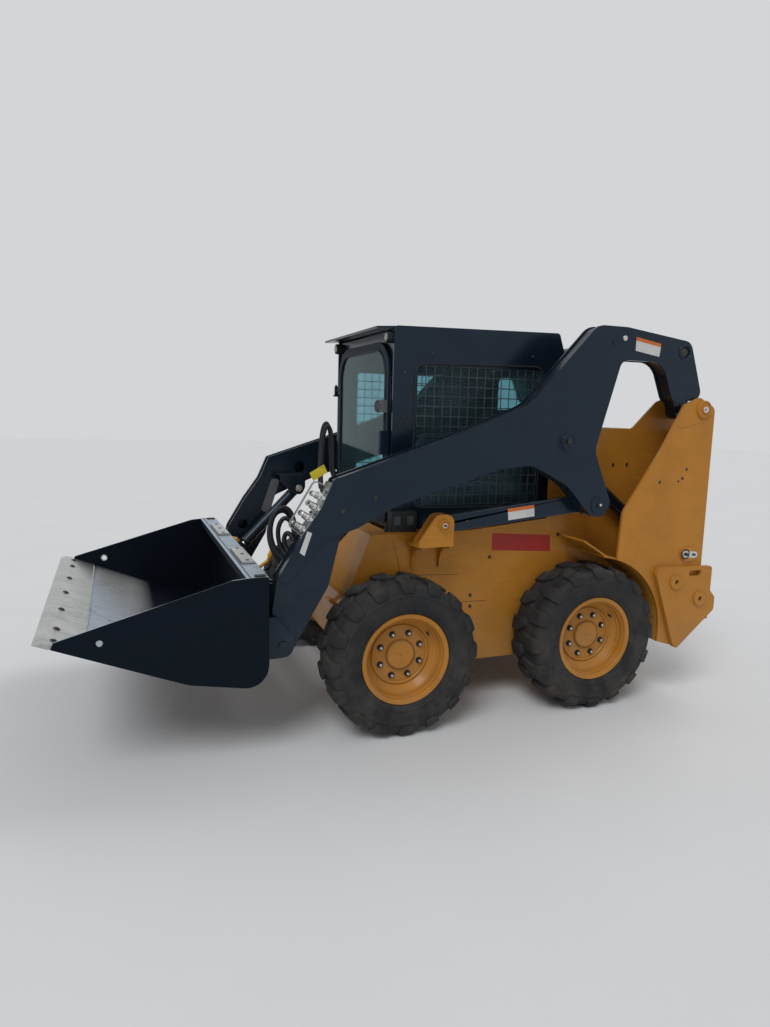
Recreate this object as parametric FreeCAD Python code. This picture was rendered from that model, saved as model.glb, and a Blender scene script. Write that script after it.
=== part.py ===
"""Mid-size vertical-lift skid steer loader with a low-profile bucket.

Lengths are millimetres. X points forward, Y to the operator's left, Z up.
Places are first written from the middle of the wheelbase at ground level.
Every sub-part is then placed so that the machine's overall box sits centred on the origin.
The arms stand a little off their stops with the bucket rolled back, as for driving.
"""

import math
import os

import FreeCAD
import Part
from FreeCAD import Vector

document = FreeCAD.newDocument("SkidSteerLoader")
sheet = document.addObject("Spreadsheet::Sheet", "Sizes")

# alias, value in mm or degrees, meaning
SIZES = [
    ("wheelbase", 1082, "distance between the axle centres"),
    ("tyre_diameter", 770, "over the lugs"),
    ("tyre_width", 264, "section width"),
    ("over_tyres", 1640, "overall width over the tyres"),
    ("rim_flange_diameter", 445, "over the rim's outer lip"),
    ("tread_depth", 17, "height of a lug"),
    ("lugs_per_side", 16, "lugs on each half of the tread"),
    ("arch_clearance", 47, "between a rear tyre and the arch over it"),
    ("tyre_clearance", 16, "between a tyre and the chassis side"),
    ("side_plate", 12, "thickness of the chassis side plates"),
    ("cylinder_offset", 46, "centre plane of the cylinders, out from the chassis side"),
    ("rear_link_offset", 25, "inner face of the rear links, out from the chassis side"),
    ("rear_link_width", 70, "thickness of the rear links"),
    ("control_link_offset", 45, "inner face of the control links, out from the cylinders' plane"),
    ("control_link_thickness", 32, "thickness of the control links"),
    ("link_clearance", 5, "between the control links and the arms"),
    ("arm_width", 92, "over a lift arm's two plates"),
    ("arm_plate", 10, "thickness of an arm's plates"),
    ("tower_clearance", 12, "between an arm and the tower's outer plate"),
    ("tower_plate", 15, "thickness of the tower's outer plate"),
    ("pin_diameter", 40, "lift linkage pins"),
    ("pin_clearance", 0.05, "radial running fit of a pin"),
    ("seat_gap", 0.3, "gap between pieces that are held together"),
    ("cab_clearance", 68, "between the cab's side and the chassis side"),
    ("cab_sheet", 12, "thickness of the cab's panels"),
    ("glass_thickness", 6, "cab glazing"),
    ("bucket_width", 1680, "over the bucket's side plates"),
    ("bucket_sheet", 8, "bucket floor, back and sides"),
    ("bucket_tip_x", 2121, "front of the cutting edge"),
    ("weight_rear_x", -1330, "rear of the side counterweights"),
    ("weight_thickness", 30, "side counterweight casting"),
    ("hinge_pin_diameter", 44, "bucket hinge pin"),
    ("lift_barrel_diameter", 74, "lift cylinder tube"),
    ("lift_rod_diameter", 45, "lift cylinder rod"),
    ("tilt_barrel_diameter", 62, "tilt cylinder tube"),
    ("tilt_rod_diameter", 32, "tilt cylinder rod"),
]
for row, (alias, value, meaning) in enumerate(SIZES, start=1):
    sheet.set("A%d" % row, meaning)
    sheet.set("B%d" % row, str(value))
    sheet.setAlias("B%d" % row, alias)
document.recompute()


def size(alias):
    return float(sheet.get(alias))


ORIGIN_SHIFT = -(size("bucket_tip_x") + size("weight_rear_x")) / 2
GAP = size("seat_gap")
AXLE_Z = size("tyre_diameter") / 2
TYRE_HALF = size("tyre_width") / 2
WHEEL_CENTRE_Y = size("over_tyres") / 2 - TYRE_HALF

# Planes of the left side, stacked outwards from the inner face of the tyre
CHASSIS_OUTER_Y = WHEEL_CENTRE_Y - TYRE_HALF - size("tyre_clearance")
CHASSIS_INNER_Y = CHASSIS_OUTER_Y - size("side_plate")
CYLINDER_Y = CHASSIS_OUTER_Y + size("cylinder_offset")
REAR_LINK_INNER_Y = CHASSIS_OUTER_Y + size("rear_link_offset")
REAR_LINK_OUTER_Y = REAR_LINK_INNER_Y + size("rear_link_width")
CONTROL_LINK_INNER_Y = CYLINDER_Y + size("control_link_offset")
CONTROL_LINK_OUTER_Y = CONTROL_LINK_INNER_Y + size("control_link_thickness")
ARM_INNER_Y = CONTROL_LINK_OUTER_Y + size("link_clearance")
ARM_OUTER_Y = ARM_INNER_Y + size("arm_width")
TOWER_INNER_Y = ARM_OUTER_Y + size("tower_clearance")
TOWER_OUTER_Y = TOWER_INNER_Y + size("tower_plate")
CAB_OUTER_Y = CHASSIS_INNER_Y - size("cab_clearance")
CAB_INNER_Y = CAB_OUTER_Y - size("cab_sheet")
CAB_INSIDE = CAB_INNER_Y - GAP

# Linkage pins, seen from the left: x, z
PINS = {
    "tower_top": (-1157, 1599),
    "lift_base": (-1121, 810),
    "control_base": (312, 1003),
    "arm_rear": (-1021, 1896),
    "arm_lobe": (-536, 1095),
    "lift_head": (-318, 1421),
    "tilt_base": (730, 1060),
    "tilt_head": (1099, 682),
    "bucket_hinge": (1130, 505),
}


def corner_arc(before, corner, after, radius):
    """Start, middle and end of the arc that rounds one corner."""
    back = (before - corner).normalize()
    ahead = (after - corner).normalize()
    half_angle = back.getAngle(ahead) / 2
    reach = radius / math.tan(half_angle)
    bisector = (back + ahead).normalize()
    centre = corner + bisector * (radius / math.sin(half_angle))
    middle = centre - bisector * radius
    return corner + back * reach, middle, corner + ahead * reach


def outline(rows, lay):
    """Closed wire through rows of (first, second, corner radius), laid out by the given function."""
    points = [lay(first, second) for first, second, radius in rows]
    edges = []
    previous_end = None
    first_start = None
    for index, (first, second, radius) in enumerate(rows):
        corner = points[index]
        if radius > 0:
            following = points[(index + 1) % len(points)]
            start, middle, end = corner_arc(points[index - 1], corner, following, radius)
        else:
            start = end = corner
        if previous_end is None:
            first_start = start
        elif previous_end.distanceToPoint(start) > 0.001:
            edges.append(Part.makeLine(previous_end, start))
        if radius > 0:
            edges.append(Part.Arc(start, middle, end).toShape())
        previous_end = end
    if previous_end.distanceToPoint(first_start) > 0.001:
        edges.append(Part.makeLine(previous_end, first_start))
    return Part.Wire(edges)


def side_view(y):
    return lambda x, z: Vector(x, y, z)


def front_view(x):
    return lambda y, z: Vector(x, y, z)


def top_view(z):
    return lambda x, y: Vector(x, y, z)


def side_plate(rows, y_from, y_to):
    """Plate with a side-view outline between two Y planes."""
    return Part.Face(outline(rows, side_view(y_from))).extrude(Vector(0, y_to - y_from, 0))


def front_plate(rows, x_from, x_to):
    return Part.Face(outline(rows, front_view(x_from))).extrude(Vector(x_to - x_from, 0, 0))


def top_plate(rows, z_from, z_to):
    return Part.Face(outline(rows, top_view(z_from))).extrude(Vector(0, 0, z_to - z_from))


def block(x_from, x_to, y_from, y_to, z_from, z_to):
    return Part.makeBox(x_to - x_from, y_to - y_from, z_to - z_from, Vector(x_from, y_from, z_from))


def cross_bar(place, diameter, y_from, y_to):
    """Round bar along Y through a side-view place."""
    return Part.makeCylinder(diameter / 2, y_to - y_from, Vector(place[0], y_from, place[1]), Vector(0, 1, 0))


def rod_between(start, end, diameter):
    along = end - start
    return Part.makeCylinder(diameter / 2, along.Length, start, along)


def rectangle(first_from, first_to, second_from, second_to, radius=0):
    return [
        (first_from, second_from, radius),
        (first_to, second_from, radius),
        (first_to, second_to, radius),
        (first_from, second_to, radius),
    ]


def fused(shapes):
    return shapes[0].multiFuse(list(shapes[1:])).removeSplitter()


def mirrored(shape):
    return shape.mirror(Vector(0, 0, 0), Vector(0, 1, 0))


def both_sides(shape):
    return Part.makeCompound([shape, mirrored(shape)])


def revolved(rows, lay, axis):
    wire = outline(rows, lay)
    return Part.Face(wire).revolve(Vector(0, 0, 0), axis, 360)


SUBPARTS = []


def add_subpart(name, shape, place=Vector(0, 0, 0)):
    feature = document.addObject("Part::Feature", name)
    feature.Label = name
    feature.Shape = shape
    feature.Placement = FreeCAD.Placement(place + Vector(ORIGIN_SHIFT, 0, 0), FreeCAD.Rotation())
    SUBPARTS.append(feature)


CAB_FLOOR_Z = 950

# Chassis: two side plates, belly plate, front wall and cross members
CHASSIS_SIDE = [  # x, z, corner radius
    (-1225, 420, 0),
    (-1080, 245, 30),
    (640, 245, 40),
    (745, 330, 40),
    (762, 640, 60),
    (640, 943, 30),
    (93, 947, 0),
    (-375, 997, 10),
    (-375, 1330, 60),
    (-480, 1484, 40),
    (-900, 1484, 60),
    (-1060, 1640, 60),
    (-1140, 1668, 40),
    (-1225, 1620, 30),
]
FRONT_WALL = [  # x, z, corner radius of the outer bend
    (640, 245, 0),
    (745, 330, 40),
    (762, 640, 60),
    (640, 943, 0),
]


def bent_sheet(rows, thickness, y_from, y_to, side):
    """Sheet along a side-view line, thickened to the left of its run for side 1 and to the right for -1."""
    line = [Vector(x, 0, z) for x, z, radius in rows]
    runs = [(ahead - behind).normalize() for behind, ahead in zip(line, line[1:])]
    normals = [Vector(-run.z, 0, run.x) * side for run in runs]
    offset_rows = []
    for index, (x, z, radius) in enumerate(rows):
        before = normals[max(index - 1, 0)]
        after = normals[min(index, len(normals) - 1)]
        middle = (before + after).normalize()
        point = line[index] + middle * (thickness / middle.dot(before))
        inner_radius = 0
        if radius > 0:
            towards_centre = runs[index].dot(before) > 0
            inner_radius = radius - thickness if towards_centre else radius + thickness
        offset_rows.append((point.x, point.z, max(inner_radius, 0)))
    return side_plate(rows + offset_rows[::-1], y_from, y_to)


HINGE_PIN = 16
HOOD_HINGE = (-600, 1459)
HOOD_HALF = CHASSIS_INNER_Y - 13
REAR_HINGE = (-1280, 6 - CHASSIS_INNER_Y)
REAR_HINGE_Z = (640, 1240)
HINGE_LUG_MARGIN = 12


def build_chassis():
    outer = CHASSIS_OUTER_Y
    inner = CHASSIS_INNER_Y
    left = side_plate(CHASSIS_SIDE, inner, outer)
    front = bent_sheet(FRONT_WALL, 10, -inner, inner, 1)
    belly = block(-1080, 640, -inner, inner, 245, 255)
    sill = block(520, 632, -inner, inner, 930, 942)
    rear_sill = block(-1225, -1120, -inner, inner, 420, 435)
    bay_wall = block(-575, -565, -inner, inner, 255, 1300)
    deck = block(-360, 630, CAB_INNER_Y, inner + 1, 940, CAB_FLOOR_Z - GAP)
    hood_pin = cross_bar(HOOD_HINGE, HINGE_PIN, inner - 30, inner + 1)
    shapes = [front, belly, sill, rear_sill, bay_wall]
    for piece in (left, deck, hood_pin):
        shapes += [piece, mirrored(piece)]
    hinge_x, hinge_y = REAR_HINGE
    lug_x = hinge_x - HINGE_LUG_MARGIN
    lug_y = hinge_y + HINGE_LUG_MARGIN
    for z in REAR_HINGE_Z:
        lug_rows = [(-1220, -outer, 0), (lug_x, -outer, 0), (lug_x, lug_y, 6), (-1268, lug_y, 0),
                    (-1268, -inner, 0), (-1220, -inner, 0)]
        shapes.append(top_plate(lug_rows, z - 20, z - GAP))
        shapes.append(Part.makeCylinder(HINGE_PIN / 2, 90, Vector(hinge_x, hinge_y, z - 15)))
    return fused(shapes)


add_subpart("chassis", build_chassis())

# Axle stubs: square flange on the chassis side, round housing, spindle that carries the hub
WHEEL_X = [size("wheelbase") / 2, -size("wheelbase") / 2]
SPINDLE_DIAMETER = 90
HUB_FACE_Y = WHEEL_CENTRE_Y + 12


def build_axle(x):
    centre = (x, AXLE_Z)
    outer = CHASSIS_OUTER_Y
    flange = side_plate(rectangle(x - 85, x + 85, centre[1] - 85, centre[1] + 85, 20), outer + GAP, outer + 14)
    housing = cross_bar(centre, 120, outer + 10, outer + 60)
    spindle = cross_bar(centre, SPINDLE_DIAMETER, outer + 50, HUB_FACE_Y)
    return fused([flange, housing, spindle])


axles = [build_axle(x) for x in WHEEL_X]
add_subpart("axle_housings", Part.makeCompound(axles + [mirrored(axle) for axle in axles]))

# Towers: outer plate, fender over the rear tyre and rear closing plate
ARCH_RADIUS = AXLE_Z + size("arch_clearance")
ARCH_CENTRE = Vector(-size("wheelbase") / 2, 0, AXLE_Z)


def on_arch(degrees, y=0.0, radius=ARCH_RADIUS):
    angle = math.radians(degrees)
    return ARCH_CENTRE + Vector(radius * math.cos(angle), y, radius * math.sin(angle))


TOWER_EDGE = [  # x, z, corner radius, from the arch's front end up and round to its low end
    (-672, 1054, 60),
    (-890, 1380, 30),
    (-1026, 1622, 30),
    (-1125, 1664, 30),
    (-1237, 1609, 40),
    (-1241, 430, 20),
    (-1078, 292, 20),
]
ARCH_FROM = 106
ARCH_TO = 188


LATCH_EDGE = [  # x, z, corner radius
    (-1240, 1050, 0),
    (-1240, 1120, 0),
    (-1268, 1112, 12),
    (-1268, 1066, 12),
]
KEEPER_EDGE = [(-1190, 772, 34), (-1190, 848, 34), (-1085, 848, 34), (-1085, 772, 34)]


def build_tower():
    outer_y = TOWER_INNER_Y
    face_y = TOWER_OUTER_Y
    inner_y = CHASSIS_OUTER_Y + GAP
    start = on_arch(ARCH_FROM)
    end = on_arch(ARCH_TO)
    rows = [(start.x, start.z, 0)] + TOWER_EDGE + [(end.x, end.z, 0)]
    plate = side_plate(rows, outer_y, face_y)
    plate = plate.cut(cross_bar((ARCH_CENTRE.x, ARCH_CENTRE.z), 2 * ARCH_RADIUS, outer_y - 1, face_y + 1))
    rear_wall = block(-1241, -1229, inner_y, outer_y + 1, 440, 1480)
    latch = side_plate(LATCH_EDGE, outer_y - 40, outer_y - 24)
    top_boss = cross_bar(PINS["tower_top"], 96, outer_y, face_y + 10)
    top_pin = cross_bar(PINS["tower_top"], size("pin_diameter"), inner_y, face_y + 18)
    base_pin = cross_bar(PINS["lift_base"], size("pin_diameter"), inner_y, face_y + 8)
    keeper = side_plate(KEEPER_EDGE, face_y - 1, face_y + 10)
    return fused([plate, rear_wall, latch, top_boss, top_pin, base_pin, keeper])


tower = build_tower()
add_subpart("tower_left", tower)
add_subpart("tower_right", mirrored(tower))

# Fender: rolled sheet over the rear tyre, and the shelf that runs forward from it
FENDER_SHEET = 8
SHELF_FRONT = (-452, 904)


def build_fender():
    inner_y = CHASSIS_OUTER_Y + GAP
    outer_y = TOWER_INNER_Y - GAP
    centre = (ARCH_CENTRE.x, ARCH_CENTRE.z)
    ring = cross_bar(centre, 2 * (ARCH_RADIUS + FENDER_SHEET), inner_y, outer_y)
    ring = ring.cut(cross_bar(centre, 2 * ARCH_RADIUS, inner_y - 1, outer_y + 1))
    beyond = [on_arch(degrees, 0, 700) for degrees in (96, 120, 140, 160, ARCH_TO)]
    sector_rows = [(centre[0], centre[1], 0)] + [(point.x, point.z, 0) for point in beyond]
    arch = ring.common(side_plate(sector_rows, inner_y - 1, outer_y + 1))
    shelf_start = on_arch(98, 0, ARCH_RADIUS + 1)
    shelf_rows = [(shelf_start.x, shelf_start.z, 0), SHELF_FRONT + (0,)]
    shelf = bent_sheet(shelf_rows, FENDER_SHEET, inner_y, outer_y, 1)
    return fused([arch, shelf])


add_subpart("fenders", both_sides(build_fender()))

# Side counterweights bolted to the towers
WEIGHT_EDGE = [  # x, z, corner radius
    (-887, 752, 40),
    (-958, 560, 200),
    (-1050, 320, 20),
    (-1076, 276, 20),
    (-1330, 488, 30),
    (-1330, 560, 20),
    (-1292, 600, 20),
    (-1292, 741, 20),
]
WEIGHT_BOLTS = [(-1040, 665), (-1215, 560)]  # x, z
WEIGHT_SLOT = rectangle(-1215, -1130, 690, 722, 14)
BOSS_DIAMETER = 84
BOSS_HEIGHT = 10


def build_weight():
    inner = TOWER_OUTER_Y + GAP
    face = inner + size("weight_thickness")
    casting = side_plate(WEIGHT_EDGE, inner, face)
    for place in WEIGHT_BOLTS:
        casting = casting.fuse(cross_bar(place, BOSS_DIAMETER, face - 1, face + BOSS_HEIGHT))
    for place in WEIGHT_BOLTS:
        casting = casting.cut(cross_bar(place, 26, inner - 1, face + BOSS_HEIGHT + 1))
    slot = side_plate(WEIGHT_SLOT, inner - 1, face + 1)
    return casting.cut(slot)


add_subpart("side_weights", both_sides(build_weight()))

# Brackets that carry the control links
BRACKET_EAR = [(259, 905, 0), (443, 905, 0), (443, 922, 8), (352, 1056, 44), (259, 1056, 44)]
BRACKET_EAR_PLATE = 14
GUSSET_X = (262, 412)
GUSSET_PLATE = 12


def build_bracket():
    chassis_face = CHASSIS_OUTER_Y + GAP
    inner_ear_y = CONTROL_LINK_INNER_Y - 7
    outer_ear_y = CONTROL_LINK_OUTER_Y + 7
    ear = BRACKET_EAR_PLATE
    shelf = [
        (218, chassis_face, 0),
        (455, chassis_face, 0),
        (455, chassis_face + 60, 10),
        (443, outer_ear_y + ear, 6),
        (259, outer_ear_y + ear, 6),
        (218, chassis_face + 60, 10),
    ]
    shapes = [
        side_plate(BRACKET_EAR, inner_ear_y - ear, inner_ear_y),
        side_plate(BRACKET_EAR, outer_ear_y, outer_ear_y + ear),
        top_plate(shelf, 896, 907),
        block(259, 443, chassis_face, chassis_face + 10, 880, 947),
        cross_bar(PINS["control_base"], size("pin_diameter"), inner_ear_y - ear - 6, outer_ear_y + ear + 8),
    ]
    gusset_rows = [
        (chassis_face, 764, 0),
        (chassis_face + 14, 764, 0),
        (chassis_face + 30, 868, 70),
        (outer_ear_y, 884, 0),
        (outer_ear_y, 898, 0),
        (chassis_face, 898, 0),
    ]
    shapes += [front_plate(gusset_rows, x, x + GUSSET_PLATE) for x in GUSSET_X]
    return fused(shapes)


add_subpart("link_brackets", both_sides(build_bracket()))


def link_bar(start, end, start_radius, end_radius, y_from, y_to):
    """Tapered bar with round eyes about two side-view places."""
    low = Vector(start[0], 0, start[1])
    high = Vector(end[0], 0, end[1])
    along = (high - low).normalize()
    side = Vector(-along.z, 0, along.x)
    corners = [low + side * start_radius * 0.9, high + side * end_radius * 0.9,
               high - side * end_radius * 0.9, low - side * start_radius * 0.9]
    body = side_plate([(point.x, point.z, 0) for point in corners], y_from, y_to)
    return fused([body, cross_bar(start, 2 * start_radius, y_from, y_to),
                  cross_bar(end, 2 * end_radius, y_from, y_to)])


BORE = size("pin_diameter") + 2 * size("pin_clearance")


def build_control_link():
    inner = CONTROL_LINK_INNER_Y
    outer = CONTROL_LINK_OUTER_Y
    bar = link_bar(PINS["control_base"], PINS["arm_lobe"], 46, 50, inner, outer)
    for place in (PINS["control_base"], PINS["arm_lobe"]):
        bar = bar.cut(cross_bar(place, BORE, inner - 1, outer + 1))
    return bar


add_subpart("control_links", both_sides(build_control_link()))


def build_rear_link():
    inner = REAR_LINK_INNER_Y
    outer = REAR_LINK_OUTER_Y
    bar = link_bar(PINS["tower_top"], PINS["arm_rear"], 55, 50, inner, outer)
    bar = bar.cut(cross_bar(PINS["tower_top"], BORE, inner - 1, outer + 1))
    stub = cross_bar(PINS["arm_rear"], size("pin_diameter"), outer - 1, ARM_INNER_Y - 8)
    return fused([bar, stub])


add_subpart("rear_links", both_sides(build_rear_link()))

# Lift arm: inner and outer plates over a web, with a cover plate down to the knee
ARM_EDGE = [  # x, z, corner radius
    (896, 1243, 20),
    (319, 1439, 0),
    (-85, 1597, 200),
    (-460, 2000, 90),
    (-640, 2000, 60),
    (-1060, 1950, 60),
    (-1165, 1655, 45),
    (-968, 1628, 50),
    (-880, 1836, 110),
    (-619, 1836, 50),
    (-488, 1375, 90),
    (-610, 1100, 50),
    (-570, 1033, 40),
    (-492, 1033, 40),
    (-330, 1200, 200),
    (-120, 1300, 120),
    (60, 1282, 60),
    (603, 1113, 60),
    (860, 1000, 40),
    (915, 760, 60),
    (985, 640, 60),
    (1076, 478, 0),
    (1086, 461, 0),
    (1130, 455, 0),
    (1172, 478, 0),
    (1180, 505, 0),
    (1172, 668, 200),
    (1152, 805, 60),
    (1048, 980, 60),
    (954, 1111, 60),
]
COVER_KNEE = [  # x, z, corner radius, the cover's front end on the leg
    (784, 1019, 30),
    (934, 971, 60),
    (1007, 901, 60),
    (1110, 780, 10),
    (1152, 805, 10),
]
COVER_EDGE = ARM_EDGE[:18] + COVER_KNEE + ARM_EDGE[-2:]


def build_arm():
    inner = ARM_INNER_Y
    outer = ARM_OUTER_Y
    plate = size("arm_plate")
    inner_plate = side_plate(ARM_EDGE, inner, inner + plate)
    outer_plate = side_plate(ARM_EDGE, outer - 2 * plate, outer - plate)
    cover = side_plate(COVER_EDGE, outer - plate, outer)
    face = Part.Face(outline(ARM_EDGE, side_view(inner + plate)))
    web_outer = face.makeOffset2D(-8)
    web_inner = face.makeOffset2D(-20)
    web = web_outer.cut(web_inner).extrude(Vector(0, outer - inner - 3 * plate, 0))
    arm = fused([inner_plate, outer_plate, cover, web])
    bosses = [
        cross_bar(PINS["arm_lobe"], 100, inner, outer + 4),
        cross_bar(PINS["lift_head"], 90, inner, outer + 8),
        cross_bar(PINS["bucket_hinge"], 100, inner, outer),
    ]
    arm = fused([arm] + bosses)
    for x, z, diameter in ((-700, 1918, 60), (-120, 1450, 70), (700, 1180, 70), (1060, 820, 60)):
        arm = arm.cut(cross_bar((x, z), diameter, inner - 1, inner + plate + 1))
    recess = cross_bar(PINS["arm_rear"], 56, outer - 12, outer + 5)
    hinge_bore = size("hinge_pin_diameter") + 2 * size("pin_clearance")
    return arm.cut(recess).cut(cross_bar(PINS["bucket_hinge"], hinge_bore, inner - 1, outer + 1))


arm = build_arm()
add_subpart("arm_left", arm)
add_subpart("arm_right", mirrored(arm))

# Cross tubes that tie the arms
FRONT_TUBE = (1035, 575)
REAR_TUBE = (-760, 1905)


def build_cross_tube(place, diameter, wall):
    reach = ARM_INNER_Y - GAP
    bore = cross_bar(place, diameter - 2 * wall, -reach - 1, reach + 1)
    return cross_bar(place, diameter, -reach, reach).cut(bore)


add_subpart("arm_tubes", Part.makeCompound([
    build_cross_tube(FRONT_TUBE, 80, 8),
    build_cross_tube(REAR_TUBE, 90, 8),
]))


def build_lobe_pin():
    return cross_bar(PINS["arm_lobe"], size("pin_diameter"), CONTROL_LINK_INNER_Y, ARM_INNER_Y - GAP)


EYE_HALF = 25
EAR_CLEARANCE = 6
EAR_PLATE = 12
TILT_PIN = 36
TILT_EAR = [  # x, z, corner radius
    (690, 1060, 38),
    (690, 1140, 10),
    (850, 1140, 10),
    (850, 1100, 20),
    (765, 1018, 38),
    (712, 1018, 30),
]


def build_tilt_bracket():
    ear_y = CYLINDER_Y - EYE_HALF - EAR_CLEARANCE
    ear = side_plate(TILT_EAR, ear_y - EAR_PLATE, ear_y)
    bridge = block(700, 845, ear_y - EAR_PLATE, ARM_INNER_Y - GAP, 1130, 1142)
    pin = cross_bar(PINS["tilt_base"], TILT_PIN, ear_y - EAR_PLATE - 6, ARM_INNER_Y - GAP)
    return fused([ear, bridge, pin])


add_subpart("lobe_pins", both_sides(build_lobe_pin()))
add_subpart("tilt_brackets", both_sides(build_tilt_bracket()))


def cylinder_pair(base, head, gland_at, rod_length, tube_diameter, wall, rod_diameter, eye_diameter,
                  pin_diameter):
    """Tube and rod of one cylinder, laid from its base pin to its head pin."""
    centre_y = CYLINDER_Y
    start = Vector(base[0], centre_y, base[1])
    end = Vector(head[0], centre_y, head[1])
    along = (end - start).normalize()
    half_eye = EYE_HALF
    bore_diameter = tube_diameter - 2 * wall
    base_eye = cross_bar(base, eye_diameter, centre_y - half_eye, centre_y + half_eye)
    tube = rod_between(start + along * (eye_diameter * 0.35), start + along * gland_at, tube_diameter)
    bore = rod_between(start + along * (eye_diameter * 0.5 + 18), start + along * (gland_at - 20), bore_diameter)
    gland = rod_between(start + along * (gland_at - 24), start + along * gland_at, tube_diameter + 6)
    barrel = fused([base_eye, tube, gland]).cut(bore)
    rod_bore = rod_between(start + along * (gland_at - 40), start + along * (gland_at + 5), rod_diameter + 0.1)
    barrel = barrel.cut(rod_bore)
    barrel = barrel.cut(cross_bar(base, pin_diameter + 0.1, centre_y - half_eye - 1, centre_y + half_eye + 1))
    head_eye = cross_bar(head, eye_diameter, centre_y - half_eye, centre_y + half_eye)
    rod = rod_between(end - along * rod_length, end - along * (eye_diameter * 0.3), rod_diameter)
    piston = rod_between(end - along * rod_length, end - along * (rod_length - 30), bore_diameter - 0.1)
    return barrel, head_eye, rod, piston


lift_barrel, lift_eye, lift_rod, lift_piston = cylinder_pair(
    PINS["lift_base"], PINS["lift_head"], 885, 850,
    size("lift_barrel_diameter"), 7, size("lift_rod_diameter"), 84, size("pin_diameter"))
head_pin = cross_bar(PINS["lift_head"], size("pin_diameter"), CYLINDER_Y - EYE_HALF - 6, ARM_INNER_Y - 8)
lift_rod = fused([lift_eye, lift_rod, lift_piston, head_pin])
add_subpart("lift_barrel_left", lift_barrel)
add_subpart("lift_barrel_right", mirrored(lift_barrel))
add_subpart("lift_rod_left", lift_rod)
add_subpart("lift_rod_right", mirrored(lift_rod))

tilt_barrel, tilt_eye, tilt_rod, tilt_piston = cylinder_pair(
    PINS["tilt_base"], PINS["tilt_head"], 478, 414,
    size("tilt_barrel_diameter"), 6, size("tilt_rod_diameter"), 70, TILT_PIN)
tilt_pin = cross_bar(PINS["tilt_head"], 34, CYLINDER_Y - EYE_HALF - EAR_CLEARANCE, CYLINDER_Y + 36)
tilt_rod = fused([tilt_eye, tilt_rod, tilt_piston, tilt_pin])
add_subpart("tilt_barrel_left", tilt_barrel)
add_subpart("tilt_barrel_right", mirrored(tilt_barrel))
add_subpart("tilt_rod_left", tilt_rod)
add_subpart("tilt_rod_right", mirrored(tilt_rod))

# Quick coupler: face plate with paired ears at each arm foot and tilt cylinder
COUPLER_FACE_X = 1193.7
EAR_EDGE = [  # x, z, corner radius
    (1200, 470, 0),
    (1200, 760, 0),
    (1160, 760, 10),
    (1070, 722, 38),
    (1064, 660, 30),
    (1094, 545, 30),
    (1086, 470, 14),
    (1120, 455, 14),
]
HINGE_EAR = [(1200, 450, 0), (1200, 640, 0), (1160, 640, 30), (1080, 540, 46), (1086, 455, 44), (1150, 450, 30)]


COUPLER_PLATE = 12
EAR_YS = (CYLINDER_Y - 53, CYLINDER_Y + 42)
HINGE_EAR_Y = ARM_OUTER_Y + 7


def build_coupler():
    face_half = EAR_YS[1] + COUPLER_PLATE
    hinge_ear_face = HINGE_EAR_Y + COUPLER_PLATE
    face_back = COUPLER_FACE_X + COUPLER_PLATE
    shapes = [front_plate(rectangle(-face_half, face_half, 352, 790, 12), COUPLER_FACE_X, face_back)]
    for y_from, rows in ((EAR_YS[0], EAR_EDGE), (EAR_YS[1], EAR_EDGE), (HINGE_EAR_Y, HINGE_EAR)):
        ear = side_plate(rows, y_from, y_from + COUPLER_PLATE)
        shapes += [ear, mirrored(ear)]
    wing = front_plate(rectangle(face_half - 10, hinge_ear_face, 450, 640), COUPLER_FACE_X, face_back)
    pin = cross_bar(PINS["bucket_hinge"], size("hinge_pin_diameter"), EAR_YS[1], hinge_ear_face + 9)
    shapes += [wing, mirrored(wing), pin, mirrored(pin)]
    coupler = fused(shapes)
    for y_from in EAR_YS:
        bore = cross_bar(PINS["tilt_head"], TILT_PIN, y_from - 1, y_from + COUPLER_PLATE + 1)
        coupler = coupler.cut(bore).cut(mirrored(bore))
    return coupler


add_subpart("coupler", build_coupler())


def build_lever():
    grip = front_plate([(430, 690, 10), (470, 690, 10), (470, 800, 10), (430, 800, 10)], 1170, 1180)
    return fused([grip, block(1175, COUPLER_FACE_X - GAP, 435, 465, 700, 730)])


add_subpart("coupler_levers", both_sides(build_lever()))

# Bucket: floor, heel and back as one bent sheet, two side plates and a top ledge
BUCKET_LINE = [  # x, z, corner radius of the outer bend
    (1206, 836, 0),
    (1206, 336, 90),
    (1541, 396, 300),
    (1944, 557, 0),
]
SIDE_EDGE = [  # x, z, corner radius
    (1206, 838, 14),
    (1206, 336, 90),
    (1541, 396, 300),
    (2056, 602, 0),
    (2045, 629, 0),
    (1354, 832, 60),
    (1283, 838, 0),
]


LEDGE_TOP = 836


def build_bucket():
    half = size("bucket_width") / 2
    sheet_thickness = size("bucket_sheet")
    shell = bent_sheet(BUCKET_LINE, sheet_thickness, -half + sheet_thickness, half - sheet_thickness, 1)
    side = side_plate(SIDE_EDGE, half - sheet_thickness, half)
    hole = cross_bar((1880, 611), 26, half - 20, half + 1)
    side = side.cut(hole)
    ledge = block(1206, 1300, -half + 4, half - 4, LEDGE_TOP - sheet_thickness, LEDGE_TOP)
    lip = block(1292, 1300, -half + 4, half - 4, 800, 830)
    return fused([shell, side, mirrored(side), ledge, lip])


add_subpart("bucket", build_bucket())

PAD_HEIGHT = 12


def build_bucket_pad():
    return block(1213, 1272, 205, 555, LEDGE_TOP + GAP, LEDGE_TOP + PAD_HEIGHT)


add_subpart("bucket_pads", both_sides(build_bucket_pad()))

EDGE_BACK = (1944, 557)
EDGE_TIP = (2121, 626)


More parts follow.
